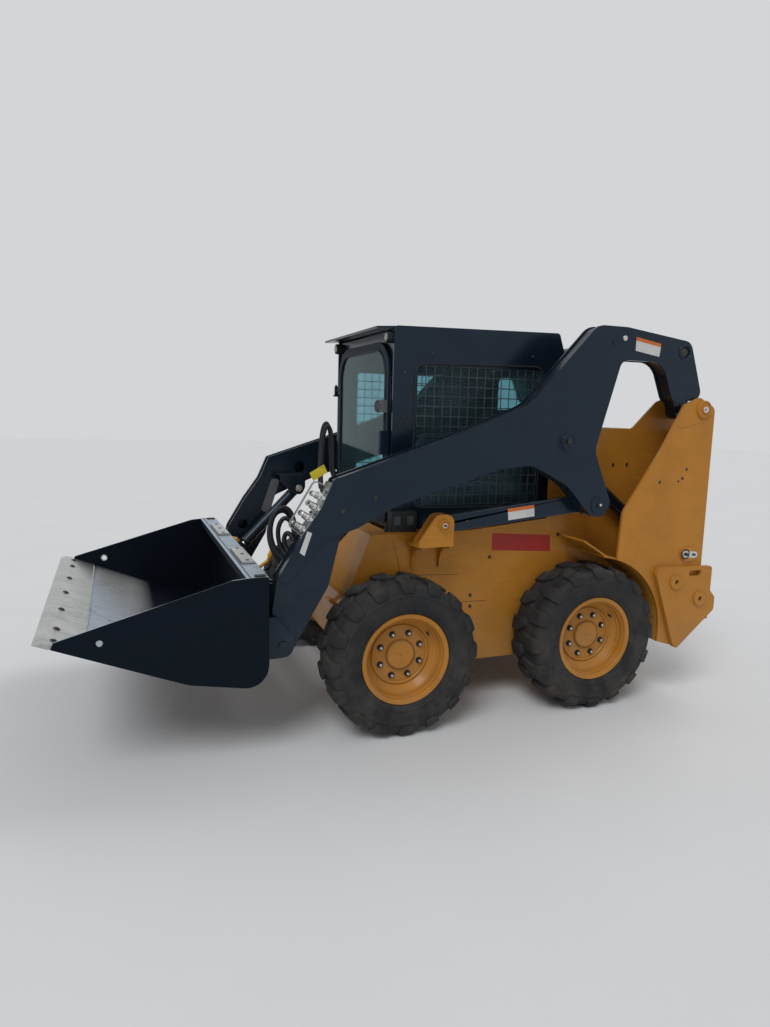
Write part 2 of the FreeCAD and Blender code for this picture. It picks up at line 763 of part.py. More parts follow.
def build_cutting_edge():
    half = size("bucket_width") / 2 - size("bucket_sheet") - GAP
    rows = [(EDGE_BACK[0] + GAP, EDGE_BACK[1], 0), (EDGE_TIP[0], EDGE_TIP[1], 0),
            (EDGE_TIP[0] - 36, EDGE_TIP[1] + 4, 0), (EDGE_BACK[0] - 6, EDGE_BACK[1] + 15, 0)]
    wide_rows = [(2062, 603, 0), (EDGE_TIP[0], EDGE_TIP[1], 0), (2085, 630, 0), (2056, 620, 0)]
    wide = side_plate(wide_rows, -size("bucket_width") / 2, size("bucket_width") / 2)
    return fused([side_plate(rows, -half, half), wide])


add_subpart("cutting_edge", build_cutting_edge())

# Cab: side panels, roof with visor, rear panel and front door frame
CAB_SIDE = [  # x, z, corner radius
    (512, CAB_FLOOR_Z, 0),
    (512, 1963, 20),
    (-442, 1984, 20),
    (-482, 1871, 20),
    (-537, 1837, 20),
    (-537, 1010, 0),
    (-380, 1010, 0),
    (-360, CAB_FLOOR_Z, 0),
]
SIDE_WINDOW = [  # x, z, corner radius
    (395, 1060, 50),
    (395, 1786, 50),
    (-352, 1802, 50),
    (-352, 1060, 50),
]


def shrunk(rows, margin):
    """The same four-sided opening with its corners moved towards its middle."""
    middle_first = sum(row[0] for row in rows) / len(rows)
    middle_second = sum(row[1] for row in rows) / len(rows)
    moved = []
    for first, second, radius in rows:
        first_move = margin if first < middle_first else -margin
        second_move = margin if second < middle_second else -margin
        moved.append((first + first_move, second + second_move, max(radius - margin, 1)))
    return moved


def build_cab_side():
    outer = CAB_OUTER_Y
    inner = CAB_INNER_Y
    panel = side_plate(CAB_SIDE, inner, outer)
    lap_pin = cross_bar(LAP_PIVOT, HINGE_PIN, LAP_ARM_Y - 14, inner + 1)
    return fused([panel.cut(side_plate(SIDE_WINDOW, inner - 1, outer + 1)), lap_pin])


def build_door_lugs():
    outer = CAB_OUTER_Y
    x, y = DOOR_HINGE
    shapes = []
    for z in DOOR_HINGE_Z:
        shapes.append(block(505, x + 11, -outer, y + 11, z - 12, z - GAP))
        shapes.append(Part.makeCylinder(DOOR_PIN / 2, 64, Vector(x, y, z - 6)))
    return shapes


LAP_PIVOT = (-420, 1400)
LAP_ARM_Y = CAB_INNER_Y - 23
DOOR_HINGE = (530, 24 - CAB_OUTER_Y)
DOOR_HINGE_Z = (1120, 1640)
DOOR_PIN = 12

cab_side = build_cab_side()
add_subpart("cab_side_left", cab_side)
add_subpart("cab_side_right", fused([mirrored(cab_side)] + build_door_lugs()))

ROOF_LINE = [  # x, z, corner radius
    (600, 1956, 0),
    (480, 1964, 0),
    (-442, 1984, 20),
    (-482, 1871, 20),
    (-537, 1837, 0),
]
add_subpart("cab_roof", bent_sheet(ROOF_LINE, 12, -CAB_INSIDE, CAB_INSIDE, 1))

REAR_WINDOW_HALF = CAB_OUTER_Y - 130
REAR_WINDOW = rectangle(-REAR_WINDOW_HALF, REAR_WINDOW_HALF, 1480, 1780, 40)


def build_cab_rear():
    panel = front_plate(rectangle(-CAB_INSIDE, CAB_INSIDE, 1010, 1824), -537, -525)
    return panel.cut(front_plate(REAR_WINDOW, -538, -524))


add_subpart("cab_rear", build_cab_rear())


def arched(half, z_from, z_to, low_radius, high_radius):
    """Upright opening in front view, with wider rounding at its top corners."""
    return [(-half, z_from, low_radius), (half, z_from, low_radius),
            (half, z_to, high_radius), (-half, z_to, high_radius)]


DOOR_OPENING = arched(CAB_OUTER_Y - 65, 990, 1880, 40, 150)


def build_cab_front():
    panel = front_plate(rectangle(-CAB_INSIDE, CAB_INSIDE, CAB_FLOOR_Z, 1945), 488, 500)
    return panel.cut(front_plate(DOOR_OPENING, 487, 501))


add_subpart("cab_front", build_cab_front())

GLASS = size("glass_thickness")
GLASS_MARGIN = 0.4
side_glass = side_plate(shrunk(SIDE_WINDOW, GLASS_MARGIN), CAB_INNER_Y + 1, CAB_INNER_Y + 1 + GLASS)
rear_glass = front_plate(shrunk(REAR_WINDOW, GLASS_MARGIN), -534, -534 + GLASS)
add_subpart("cab_glass", Part.makeCompound([side_glass, mirrored(side_glass), rear_glass]))


def build_screen():
    outer = CAB_OUTER_Y - 1
    inner = outer - 3
    sheet_face = side_plate(shrunk(SIDE_WINDOW, GLASS_MARGIN), inner, outer)
    cells = []
    columns = 15
    rows = 14
    half_bar = 2.6
    x_from, x_to = -340, 383
    z_from, z_to = 1072, 1780
    step_x = (x_to - x_from) / columns
    step_z = (z_to - z_from) / rows
    for column in range(columns):
        for row in range(rows):
            x = x_from + column * step_x
            z = z_from + row * step_z
            cells.append(block(x + half_bar, x + step_x - half_bar, inner - 1, outer + 1,
                               z + half_bar, z + step_z - half_bar))
    return sheet_face.cut(Part.makeCompound(cells))


add_subpart("side_screens", both_sides(build_screen()))

# Door in the cab front: frame and arched glass
DOOR_EDGE = arched(CAB_OUTER_Y - 48, 972, 1898, 40, 165)
DOOR_GLASS = arched(CAB_OUTER_Y - 88, 1012, 1858, 40, 140)
DOOR_X = 506
DOOR_FRAME = 14


def build_door_frame():
    face_x = DOOR_X + DOOR_FRAME
    frame = front_plate(DOOR_EDGE, DOOR_X, face_x)
    frame = frame.cut(front_plate(DOOR_GLASS, DOOR_X - 1, face_x + 1))
    handle_y = CAB_OUTER_Y - 84
    shapes = [frame, block(face_x - 1, face_x + 30, handle_y, handle_y + 28, 1330, 1450)]
    x, y = DOOR_HINGE
    for z in DOOR_HINGE_Z:
        shapes.append(Part.makeCylinder(10, 50, Vector(x, y, z)))
        shapes.append(block(face_x - 1, face_x + 5, y, y + 52, z, z + 50))
    door = fused(shapes)
    for z in DOOR_HINGE_Z:
        door = door.cut(Part.makeCylinder(DOOR_PIN / 2 + size("pin_clearance"), 54, Vector(x, y, z - 2)))
    return door


add_subpart("door_frame", build_door_frame())
add_subpart("door_glass", front_plate(shrunk(DOOR_GLASS, GLASS_MARGIN), DOOR_X + 4, DOOR_X + 4 + GLASS))

# Seat, floor and controls inside the cab
SEAT_PAN = [  # x, z, corner radius
    (-524.7, 1009.7, 0),
    (170, 1009.7, 20),
    (170, 640, 20),
    (728, 640, 0),
]
add_subpart("seat_pan", bent_sheet(SEAT_PAN, 8, -CAB_INSIDE, CAB_INSIDE, -1))

SEAT_HALF = CAB_OUTER_Y - 210
SEAT_BASE = [(-330, 1010, 20), (150, 1010, 20), (170, 1130, 40), (-330, 1100, 20)]
SEAT_BACK = [(-430, 1010, 10), (-330.3, 1010, 0), (-330.3, 1112, 0), (-362, 1600, 40), (-455, 1600, 40)]
add_subpart("seat", Part.makeCompound([
    side_plate(SEAT_BASE, -SEAT_HALF, SEAT_HALF),
    side_plate(SEAT_BACK, 10 - SEAT_HALF, SEAT_HALF - 10),
]))


def build_controls():
    pod = block(-120, 260, SEAT_HALF + 50, CAB_INSIDE, 1010, 1180)
    lever = rod_between(Vector(180, SEAT_HALF + 100, 1170), Vector(200, SEAT_HALF + 95, 1330), 30)
    knob = Part.makeSphere(28, Vector(201, SEAT_HALF + 95, 1345))
    return fused([pod, lever, knob])


add_subpart("controls", both_sides(build_controls()))


def bent_rod(points, bend_radius, diameter):
    """Round bar along straight runs joined by bends of one radius."""
    edges = []
    run_start = points[0]
    for before, corner, after in zip(points, points[1:], points[2:]):
        bend_start, bend_middle, bend_end = corner_arc(before, corner, after, bend_radius)
        edges.append(Part.makeLine(run_start, bend_start))
        edges.append(Part.Arc(bend_start, bend_middle, bend_end).toShape())
        run_start = bend_end
    edges.append(Part.makeLine(run_start, points[-1]))
    section = Part.Wire(Part.makeCircle(diameter / 2, points[0], points[1] - points[0]))
    return Part.Wire(edges).makePipeShell([section], True, True)


LAP_BAR_DIAMETER = 28
LAP_BAR_BEND = 55


def build_lap_bar():
    grip_y = SEAT_HALF + 30
    left = [Vector(LAP_PIVOT[0] + 15, LAP_ARM_Y, LAP_PIVOT[1]), Vector(-60, LAP_ARM_Y, 1400),
            Vector(60, grip_y, 1330)]
    right = [Vector(point.x, -point.y, point.z) for point in reversed(left)]
    tube = bent_rod(left + right, LAP_BAR_BEND, LAP_BAR_DIAMETER)
    knuckle = cross_bar(LAP_PIVOT, 40, LAP_ARM_Y - 12, LAP_ARM_Y + 12)
    bore = cross_bar(LAP_PIVOT, HINGE_PIN + 2 * size("pin_clearance"), LAP_ARM_Y - 15, LAP_ARM_Y + 15)
    bar = fused([tube, knuckle, mirrored(knuckle)])
    return bar.cut(bore).cut(mirrored(bore))


add_subpart("lap_bar", build_lap_bar())


def build_lamp():
    return front_plate(rectangle(CAB_OUTER_Y - 68, CAB_OUTER_Y - 16, 1880, 1940, 24), 500 + GAP, 540)


add_subpart("work_lamps", both_sides(build_lamp()))

# Engine bay: engine block, hood, rear door with grille, tail lamps
ENGINE_HALF = CHASSIS_INNER_Y - 228
add_subpart("engine", block(-1110, -640, -ENGINE_HALF, ENGINE_HALF, 255 + GAP, 1180))


def build_hood():
    lid = block(-1215, -580, -HOOD_HALF, HOOD_HALF, 1440, 1478)
    hollow = block(-1205, -620, 10 - HOOD_HALF, HOOD_HALF - 10, 1439, 1470)
    bore = cross_bar(HOOD_HINGE, HINGE_PIN + 2 * size("pin_clearance"), HOOD_HALF - 35, HOOD_HALF + 1)
    return lid.cut(hollow).cut(bore).cut(mirrored(bore))


add_subpart("hood", build_hood())


GRILLE_HALF = HOOD_HALF - 115


def build_rear_door():
    frame = front_plate(rectangle(-HOOD_HALF, HOOD_HALF, 560, 1425, 30), -1262, -1232)
    opening = front_plate(rectangle(-GRILLE_HALF, GRILLE_HALF, 660, 1330, 20), -1263, -1231)
    shapes = [frame.cut(opening)]
    for z in REAR_HINGE_Z:
        knuckle = Part.makeCylinder(13, 70, Vector(REAR_HINGE[0], REAR_HINGE[1], z))
        strap = block(-1275, -1261, REAR_HINGE[1], REAR_HINGE[1] + 52, z, z + 70)
        shapes += [knuckle, strap]
    door = fused(shapes)
    for z in REAR_HINGE_Z:
        bore_radius = HINGE_PIN / 2 + size("pin_clearance")
        door = door.cut(Part.makeCylinder(bore_radius, 74, Vector(REAR_HINGE[0], REAR_HINGE[1], z - 2)))
    return door


add_subpart("rear_door", build_rear_door())


def build_grille():
    half = GRILLE_HALF - GAP
    frame = front_plate(rectangle(-half, half, 660 + GAP, 1330 - GAP, 20 - GAP), -1256, -1246)
    slots = []
    rows = 14
    step = (1320 - 670) / rows
    for row in range(rows):
        z = 670 + row * step
        slots.append(block(-1257, -1245, 15 - GRILLE_HALF, -8, z + 8, z + step - 8))
        slots.append(block(-1257, -1245, 8, GRILLE_HALF - 15, z + 8, z + step - 8))
    return frame.cut(Part.makeCompound(slots))


add_subpart("rear_grille", build_grille())


def build_tail_lamp():
    lamp_y = CHASSIS_OUTER_Y + 60
    return front_plate(rectangle(lamp_y, lamp_y + 100, 1180, 1260, 16), -1262, -1241 - GAP)


add_subpart("tail_lamps", both_sides(build_tail_lamp()))
add_subpart("rear_bumper", block(-1321, -1241 - GAP, -TOWER_OUTER_Y, TOWER_OUTER_Y, 425, 545))

# Auxiliary couplings on the left arm's front edge: bent base plate, fittings and a guard strap
COUPLING_EDGE = [  # x, z, corner radius, along the arm's front edge
    (1042, 988.4, 0),
    (954, 1111, 60),
    (904, 1225, 0),
]
COUPLING_PLATE = 8
COUPLING_SPACING = 56
COUPLING_COLUMNS = (21, 67)  # out from the arm's inner face
FITTING_LENGTH = 50
FITTING_DIAMETER = 24
COLLAR_DIAMETER = 32
STRAP_HEIGHT = 74


def edge_frame(distance):
    """Point on the coupling edge at a distance from its low end, and the way out from it."""
    points = [Vector(x, 0, z) for x, z, radius in COUPLING_EDGE]
    for low, high in zip(points, points[1:]):
        run = high - low
        if distance <= run.Length:
            break
        distance -= run.Length
    along = run.normalize()
    return low + along * distance, Vector(along.z, 0, -along.x)


def build_aux_couplers():
    clear = [(x + GAP, z + GAP, radius) for x, z, radius in COUPLING_EDGE]
    shapes = [bent_sheet(clear, COUPLING_PLATE, ARM_INNER_Y + 4, ARM_OUTER_Y - 8, -1)]
    for row in range(4):
        point, outward = edge_frame(30 + row * COUPLING_SPACING)
        for column in COUPLING_COLUMNS:
            foot = point + Vector(0, ARM_INNER_Y + column, 0) + outward * (COUPLING_PLATE - 3)
            shapes.append(rod_between(foot, foot + outward * FITTING_LENGTH, FITTING_DIAMETER))
            shapes.append(rod_between(foot, foot + outward * 16, COLLAR_DIAMETER))
    strap_low, low_out = edge_frame(4)
    strap_high, high_out = edge_frame(256)
    strap = [strap_low + low_out * 4, strap_low + low_out * STRAP_HEIGHT,
             strap_high + high_out * STRAP_HEIGHT, strap_high + high_out * 4]
    strap_rows = [(strap[0].x, strap[0].z, 0), (strap[1].x, strap[1].z, 24),
                  (strap[2].x, strap[2].z, 24), (strap[3].x, strap[3].z, 0)]
    middle = ARM_INNER_Y + sum(COUPLING_COLUMNS) / 2
    shapes.append(bent_sheet(strap_rows, 6, middle - 7, middle + 7, 1))
    return fused(shapes)


add_subpart("aux_couplers", build_aux_couplers())

# Wheels: tyre with chevron lugs and dished rim
CASING_RADIUS = AXLE_Z - size("tread_depth")
FLANGE_RADIUS = size("rim_flange_diameter") / 2
BEAD_RADIUS = FLANGE_RADIUS - 17.5
BEAD_Y = TYRE_HALF - 29
SHOULDER_Y = TYRE_HALF - 14
BULGE_RADIUS = FLANGE_RADIUS + 67.5
TYRE_SECTION = [  # y, radius from the axle, corner radius
    (GAP - BEAD_Y, BEAD_RADIUS + GAP, 0),
    (GAP - BEAD_Y, FLANGE_RADIUS + 1.5, 0),
    (16 - TYRE_HALF, FLANGE_RADIUS + 5.5, 6),
    (-TYRE_HALF, BULGE_RADIUS, 90),
    (-SHOULDER_Y, CASING_RADIUS - 2, 24),
    (SHOULDER_Y, CASING_RADIUS - 2, 24),
    (TYRE_HALF, BULGE_RADIUS, 90),
    (TYRE_HALF - 16, FLANGE_RADIUS + 5.5, 6),
    (BEAD_Y - GAP, FLANGE_RADIUS + 1.5, 0),
    (BEAD_Y - GAP, BEAD_RADIUS + GAP, 0),
    (TYRE_HALF - 46, BEAD_RADIUS + 21, 10),
    (TYRE_HALF - 26, BULGE_RADIUS, 60),
    (TYRE_HALF - 40, CASING_RADIUS - 26, 20),
    (40 - TYRE_HALF, CASING_RADIUS - 26, 20),
    (26 - TYRE_HALF, BULGE_RADIUS, 60),
    (46 - TYRE_HALF, BEAD_RADIUS + 21, 10),
]
LUG_END_Y = TYRE_HALF - 5
LUG_ROOT_Y = SHOULDER_Y - 20
LUG_PLAN = [  # along the tread, y
    (-46, -6),
    (4, -6),
    (44, 50),
    (44, LUG_END_Y + 1),
    (-28, LUG_END_Y + 1),
    (-28, 64),
]
LUG_SECTION = [  # y, radius from the axle, corner radius
    (-LUG_ROOT_Y, CASING_RADIUS - 14, 0),
    (-LUG_END_Y, CASING_RADIUS - 46, 0),
    (-LUG_END_Y, AXLE_Z, 26),
    (LUG_END_Y, AXLE_Z, 26),
    (LUG_END_Y, CASING_RADIUS - 46, 0),
    (LUG_ROOT_Y, CASING_RADIUS - 14, 0),
]


def build_tyre():
    casing = revolved(TYRE_SECTION, front_view(0), Vector(0, 1, 0))
    tread_ring = revolved(LUG_SECTION, front_view(0), Vector(0, 1, 0))
    count = int(size("lugs_per_side"))
    lugs = []
    for side in (1, -1):
        for index in range(count):
            corners = [Vector(along, side * y, CASING_RADIUS - 60) for along, y in LUG_PLAN]
            corners.append(corners[0])
            lug = Part.Face(Part.makePolygon(corners)).extrude(Vector(0, 0, size("tread_depth") + 80))
            turn = 360.0 * (index + (0.5 if side < 0 else 0.0)) / count
            lug.rotate(Vector(0, 0, 0), Vector(0, 1, 0), turn)
            lugs.append(lug.common(tread_ring))
    return casing.multiFuse(lugs)


HUB_BORE_RADIUS = SPINDLE_DIAMETER / 2 + 0.1
RIM_SECTION = [  # y, radius from the axle, corner radius
    (-BEAD_Y - 7, FLANGE_RADIUS, 0),
    (-BEAD_Y, FLANGE_RADIUS, 0),
    (-BEAD_Y, BEAD_RADIUS, 0),
    (BEAD_Y, BEAD_RADIUS, 0),
    (BEAD_Y, FLANGE_RADIUS, 0),
    (BEAD_Y + 9, FLANGE_RADIUS, 2),
    (BEAD_Y + 5, BEAD_RADIUS - 5, 4),
    (60, BEAD_RADIUS - 15, 20),
    (24, 150, 20),
    (24, HUB_BORE_RADIUS, 0),
    (14, HUB_BORE_RADIUS, 0),
    (14, 150, 20),
    (40, BEAD_RADIUS - 9, 20),
    (-BEAD_Y, BEAD_RADIUS - 7, 4),
    (-BEAD_Y - 7, BEAD_RADIUS, 0),
]


def build_rim():
    rim = revolved(RIM_SECTION, front_view(0), Vector(0, 1, 0))
    hub = cross_bar((0, 0), 148, 0, 34)
    bore = cross_bar((0, 0), 2 * HUB_BORE_RADIUS, -5, 15)
    return fused([rim, hub]).cut(bore)


tyre = build_tyre()
rim = build_rim()
for side, label in ((1, "left"), (-1, "right")):
    for x, end in zip(WHEEL_X, ("front", "rear")):
        for name, shape in (("tyre", tyre), ("rim", rim)):
            turned = shape if side > 0 else mirrored(shape)
            centre = Vector(x, side * WHEEL_CENTRE_Y, AXLE_Z)
            add_subpart("%s_%s_%s" % (name, end, label), turned, centre)

document.recompute()
os.makedirs("parts", exist_ok=True)
for feature in SUBPARTS:
    if "Invalid" in feature.State or "Error" in feature.State or not feature.Shape.isValid():
        raise RuntimeError("sub-part %s is not valid" % feature.Label)
    feature.Shape.exportStep("parts/%s.step" % feature.Label)
print("%d sub-parts written" % len(SUBPARTS))
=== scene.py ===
"""Looks of a mid-size vertical-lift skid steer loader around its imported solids.

The CAD pieces get their paint, rubber, glass and steel, and the pieces that a maker buys in
or welds on late are modelled here: treads, bolts, pins, hoses, couplings, lamps, plates,
controls and the seat's cushions. Lengths are metres in the part's own frame.
"""

import math

import bmesh
import bpy
from mathutils import Matrix, Vector


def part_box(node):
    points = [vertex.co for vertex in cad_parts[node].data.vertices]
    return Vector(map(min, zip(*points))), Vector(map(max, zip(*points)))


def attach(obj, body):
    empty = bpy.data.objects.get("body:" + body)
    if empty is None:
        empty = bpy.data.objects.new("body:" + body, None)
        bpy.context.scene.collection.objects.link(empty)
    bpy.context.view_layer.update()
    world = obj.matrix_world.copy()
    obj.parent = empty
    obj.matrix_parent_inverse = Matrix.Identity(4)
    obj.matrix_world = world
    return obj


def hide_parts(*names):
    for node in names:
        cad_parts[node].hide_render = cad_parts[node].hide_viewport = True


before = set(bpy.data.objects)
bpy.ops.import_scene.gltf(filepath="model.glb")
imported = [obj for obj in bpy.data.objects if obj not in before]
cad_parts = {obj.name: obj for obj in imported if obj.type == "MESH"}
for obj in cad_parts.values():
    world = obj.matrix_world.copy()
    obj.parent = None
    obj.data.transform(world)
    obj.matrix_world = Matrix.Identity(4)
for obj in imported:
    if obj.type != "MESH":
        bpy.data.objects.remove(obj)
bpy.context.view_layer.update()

bl_info = {
    "name": "Skid Steer Loader Looks",
    "version": (1, 0, 0),
    "blender": (4, 5, 0),
    "location": "View3D > Sidebar > Loader",
    "description": "Finishes and fittings of a skid steer loader around its solids",
    "category": "Object",
}

SIDES = (("left", 1), ("right", -1))
LEFT, UP, FORWARD = Vector((0, 1, 0)), Vector((0, 0, 1)), Vector((1, 0, 0))


def middle_of(node):
    low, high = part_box(node)
    return (low + high) / 2


AXLES_MIDDLE_X = (middle_of("rim_front_left").x + middle_of("rim_rear_left").x) / 2


def at(x, y, z):
    """Point written from the middle of the wheelbase, as the loader's sizes are."""
    return Vector((x + AXLES_MIDDLE_X, y, z))


# Mesh helpers

SHARP_ANGLE = math.radians(44)  # edges up to here stay smooth, as on a weld bead's ripples
SOLID_SHARP_ANGLE = math.radians(32)
FINISHES = {}  # finish name to material, filled before the first piece is made


def turned(axis):
    """Turn that lays the upright axis of a new shape along another direction."""
    return UP.rotation_difference(Vector(axis)).to_matrix().to_4x4()


def wear(vertices, finish):
    """Marks a new shape's faces with its finish."""
    place = list(FINISHES).index(finish)
    for face in {face for vertex in vertices for face in vertex.link_faces}:
        face.material_index = place
    return vertices


def new_vertices(made):
    """The vertices among what a mesh operation gives back."""
    return [item for item in made["geom"] if isinstance(item, bmesh.types.BMVert)]


def whole(bm):
    return bm.verts[:] + bm.edges[:] + bm.faces[:]


def add_round(bm, foot, axis, radius, height, segments=24, top_radius=None, finish="dark bolt"):
    """Closed round or many-sided bar that stands on its foot."""
    axis = Vector(axis).normalized()
    made = bmesh.ops.create_cone(
        bm, cap_ends=True, cap_tris=False, segments=segments, radius1=radius,
        radius2=radius if top_radius is None else top_radius, depth=height,
        matrix=Matrix.Translation(foot + axis * height / 2) @ turned(axis))
    return wear(made["verts"], finish)


def add_bar(bm, start, end, radius, segments=20, finish="dark bolt"):
    run = end - start
    return add_round(bm, start, run, radius, run.length, segments, finish=finish)


def add_box(bm, low, high, turn=Matrix(), finish="dark bolt"):
    """Box between two corners, turned about its own middle."""
    low, high = Vector(low), Vector(high)
    scale = Matrix.Diagonal((high.x - low.x, high.y - low.y, high.z - low.z, 1))
    matrix = Matrix.Translation((low + high) / 2) @ turn.to_4x4() @ scale
    return wear(bmesh.ops.create_cube(bm, size=1, matrix=matrix)["verts"], finish)


def add_ring(bm, centre, axis, radius, thickness, segments=48, sides=10, finish="dark bolt"):
    """Round-section ring about an axis."""
    section = bmesh.ops.create_circle(bm, cap_ends=False, segments=sides, radius=thickness / 2)["verts"]
    upright = Matrix.Rotation(math.radians(90), 4, "X")
    bmesh.ops.transform(bm, verts=section, matrix=Matrix.Translation((radius, 0, 0)) @ upright)
    edges = list({edge for vertex in section for edge in vertex.link_edges})
    bmesh.ops.spin(bm, geom=section + edges, cent=(0, 0, 0), axis=(0, 0, 1), dvec=(0, 0, 0),
                   angle=math.tau, steps=segments, use_merge=True, use_duplicate=False)
    grown = {vertex for vertex in section if vertex.is_valid}
    front = list(grown)
    while front:
        near = {edge.other_vert(vertex) for vertex in front for edge in vertex.link_edges}
        front = list(near - grown)
        grown.update(front)
    vertices = list(grown)
    bmesh.ops.transform(bm, verts=vertices, matrix=Matrix.Translation(centre) @ turned(axis))
    return wear(vertices, finish)


WASHER_ACROSS, WASHER_THICKNESS = 0.72, 0.003  # the washer's radius is a share of the head's width
HEAD_CORNER, HEAD_TOP, HEAD_HEIGHT = 0.577, 0.55, 0.42  # shares of the head's width across its flats


def add_bolt(bm, foot, axis, across=0.019, finish="dark bolt", washer=True):
    """Hexagon head on a washer, standing off a face."""
    axis = Vector(axis).normalized()
    if washer:
        add_round(bm, foot - axis * 0.0005, axis, across * WASHER_ACROSS, WASHER_THICKNESS, 20, finish=finish)
    add_round(bm, foot + axis * 0.0025, axis, across * HEAD_CORNER, across * HEAD_HEIGHT, 6,
              across * HEAD_TOP, finish)


def add_sheet(bm, outline, normal, thickness, finish="dark bolt"):
    """Flat plate from a few corners, thickened along a direction."""
    vertices = [bm.verts.new(point) for point in outline]
    face = bm.faces.new(vertices)
    face.normal_update()
    moved = new_vertices(bmesh.ops.extrude_face_region(bm, geom=[face]))
    bmesh.ops.translate(bm, verts=moved, vec=Vector(normal).normalized() * thickness)
    return wear(vertices + moved, finish)


def mirrored_copy(bm):
    """Adds the same shapes on the loader's other side."""
    vertices = new_vertices(bmesh.ops.duplicate(bm, geom=whole(bm)))
    bmesh.ops.scale(bm, vec=(1, -1, 1), verts=vertices)


def round_edges(piece, width, sharp_angle):
    edge_round = piece.modifiers.new("Edge rounding", "BEVEL")
    edge_round.width = width
    edge_round.segments = 2
    edge_round.limit_method = "ANGLE"
    edge_round.angle_limit = sharp_angle
    return edge_round


def finish_piece(bm, name, body, bevel=0.0006):
    """Turns a bmesh into a piece that rides on a body, in the finishes that its faces are marked with."""
    bmesh.ops.recalc_face_normals(bm, faces=bm.faces[:])
    worn = sorted({face.material_index for face in bm.faces})
    for face in bm.faces:
        face.material_index = worn.index(face.material_index)
    mesh = bpy.data.meshes.new(name)
    bm.to_mesh(mesh)
    bm.free()
    mesh.shade_smooth()
    mesh.set_sharp_from_angle(angle=SHARP_ANGLE)
    piece = bpy.data.objects.new(name, mesh)
    bpy.context.scene.collection.objects.link(piece)
    for place in worn:
        mesh.materials.append(list(FINISHES.values())[place])
    if bevel:
        round_edges(piece, bevel, SHARP_ANGLE)
    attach(piece, body)
    return piece


# Shared node groups: each gives only a colour, a mask or a height that changes over the surface


def feed(tree, socket, value):
    """Links an input to a socket, or sets it to any other value."""
    if isinstance(value, bpy.types.NodeSocket):
        tree.links.new(value, socket)
    else:
        socket.default_value = value


def add_node(tree, kind, place=(0, 0), inputs=None, **settings):
    """Places a node with its settings and inputs."""
    node = tree.nodes.new(kind)
    node.location = place
    for name, value in settings.items():
        setattr(node, name, value)
    for name, value in (inputs or {}).items():
        feed(tree, node.inputs[name], value)
    return node


def new_group(name, inputs, outputs):
    group = bpy.data.node_groups.new(name, "ShaderNodeTree")
    for label, kind, value in inputs:
        socket = group.interface.new_socket(label, in_out="INPUT", socket_type=kind)
        if value is not None:
            socket.default_value = value
    for label, kind in outputs:
        group.interface.new_socket(label, in_out="OUTPUT", socket_type=kind)
    source = add_node(group, "NodeGroupInput", (-900, 0))
    sink = add_node(group, "NodeGroupOutput", (700, 0))
    return group, source.outputs, sink.inputs


def ramp_between(tree, value, low, high, place=(0, 0)):
    """Mask that goes from 0 to 1 between two values."""
    return add_node(tree, "ShaderNodeMapRange", place,
                    {"Value": value, "From Min": low, "From Max": high}, clamp=True).outputs["Result"]


MIX_FIRST_VALUE, MIX_SECOND_VALUE = 2, 3  # places of the mix node's sockets
MIX_FIRST_COLOUR, MIX_SECOND_COLOUR, MIX_COLOUR_RESULT = 6, 7, 2


def build_mottle_group():
    """Two near colours in soft clouds, as on sprayed or moulded surfaces."""
    group, given, wanted = new_group(
        "Soft colour clouds",
        [("Place", "NodeSocketVector", None), ("Colour", "NodeSocketColor", (0.5, 0.5, 0.5, 1)),
         ("Second colour", "NodeSocketColor", (0.4, 0.4, 0.4, 1)), ("Scale", "NodeSocketFloat", 4.0)],
        [("Colour", "NodeSocketColor"), ("Height", "NodeSocketFloat")])
    clouds = add_node(group, "ShaderNodeTexNoise", (-500, 100),
                      {"Vector": given["Place"], "Scale": given["Scale"], "Detail": 5.0, "Roughness": 0.6})
    fine = add_node(group, "ShaderNodeTexNoise", (-500, -200),
                    {"Vector": given["Place"], "Scale": 420.0, "Detail": 2.0, "Roughness": 0.5})
    share = ramp_between(group, clouds.outputs["Fac"], 0.35, 0.68, (-250, 100))
    mixed = mix_colour(group, share, given["Colour"], given["Second colour"], (0, 100))
    group.links.new(mixed, wanted["Colour"])
    group.links.new(fine.outputs["Fac"], wanted["Height"])
    return group


def build_dust_group():
    """Road dust: more of it low down and on faces that look up."""
    group, given, wanted = new_group(
        "Road dust",
        [("Place", "NodeSocketVector", None), ("Clean above", "NodeSocketFloat", 1.2),
         ("Amount", "NodeSocketFloat", 0.5)],
        [("Mask", "NodeSocketFloat")])
    split = add_node(group, "ShaderNodeSeparateXYZ", (-650, 150), {"Vector": given["Place"]})
    low = add_node(group, "ShaderNodeMath", (-450, 150), {0: split.outputs["Z"], 1: given["Clean above"]},
                   operation="DIVIDE")
    height = ramp_between(group, low.outputs[0], 1.0, 0.0, (-250, 150))
    normal = add_node(group, "ShaderNodeNewGeometry", (-650, -100))
    facing = add_node(group, "ShaderNodeSeparateXYZ", (-450, -100), {"Vector": normal.outputs["Normal"]})
    upward = ramp_between(group, facing.outputs["Z"], 0.3, 1.0, (-250, -100))
    both = add_node(group, "ShaderNodeMath", (0, 60), {0: height, 1: upward}, operation="MAXIMUM")
    clouds = add_node(group, "ShaderNodeTexNoise", (-450, -350),
                      {"Vector": given["Place"], "Scale": 7.0, "Detail": 8.0, "Roughness": 0.7})
    broken = ramp_between(group, clouds.outputs["Fac"], 0.38, 0.7, (-250, -350))
    worked = add_node(group, "ShaderNodeMath", (200, 0), {0: both.outputs[0], 1: broken},
                      operation="MULTIPLY")
    mask = add_node(group, "ShaderNodeMath", (400, 0), {0: worked.outputs[0], 1: given["Amount"]},
                    operation="MULTIPLY", use_clamp=True)
    group.links.new(mask.outputs[0], wanted["Mask"])
    return group


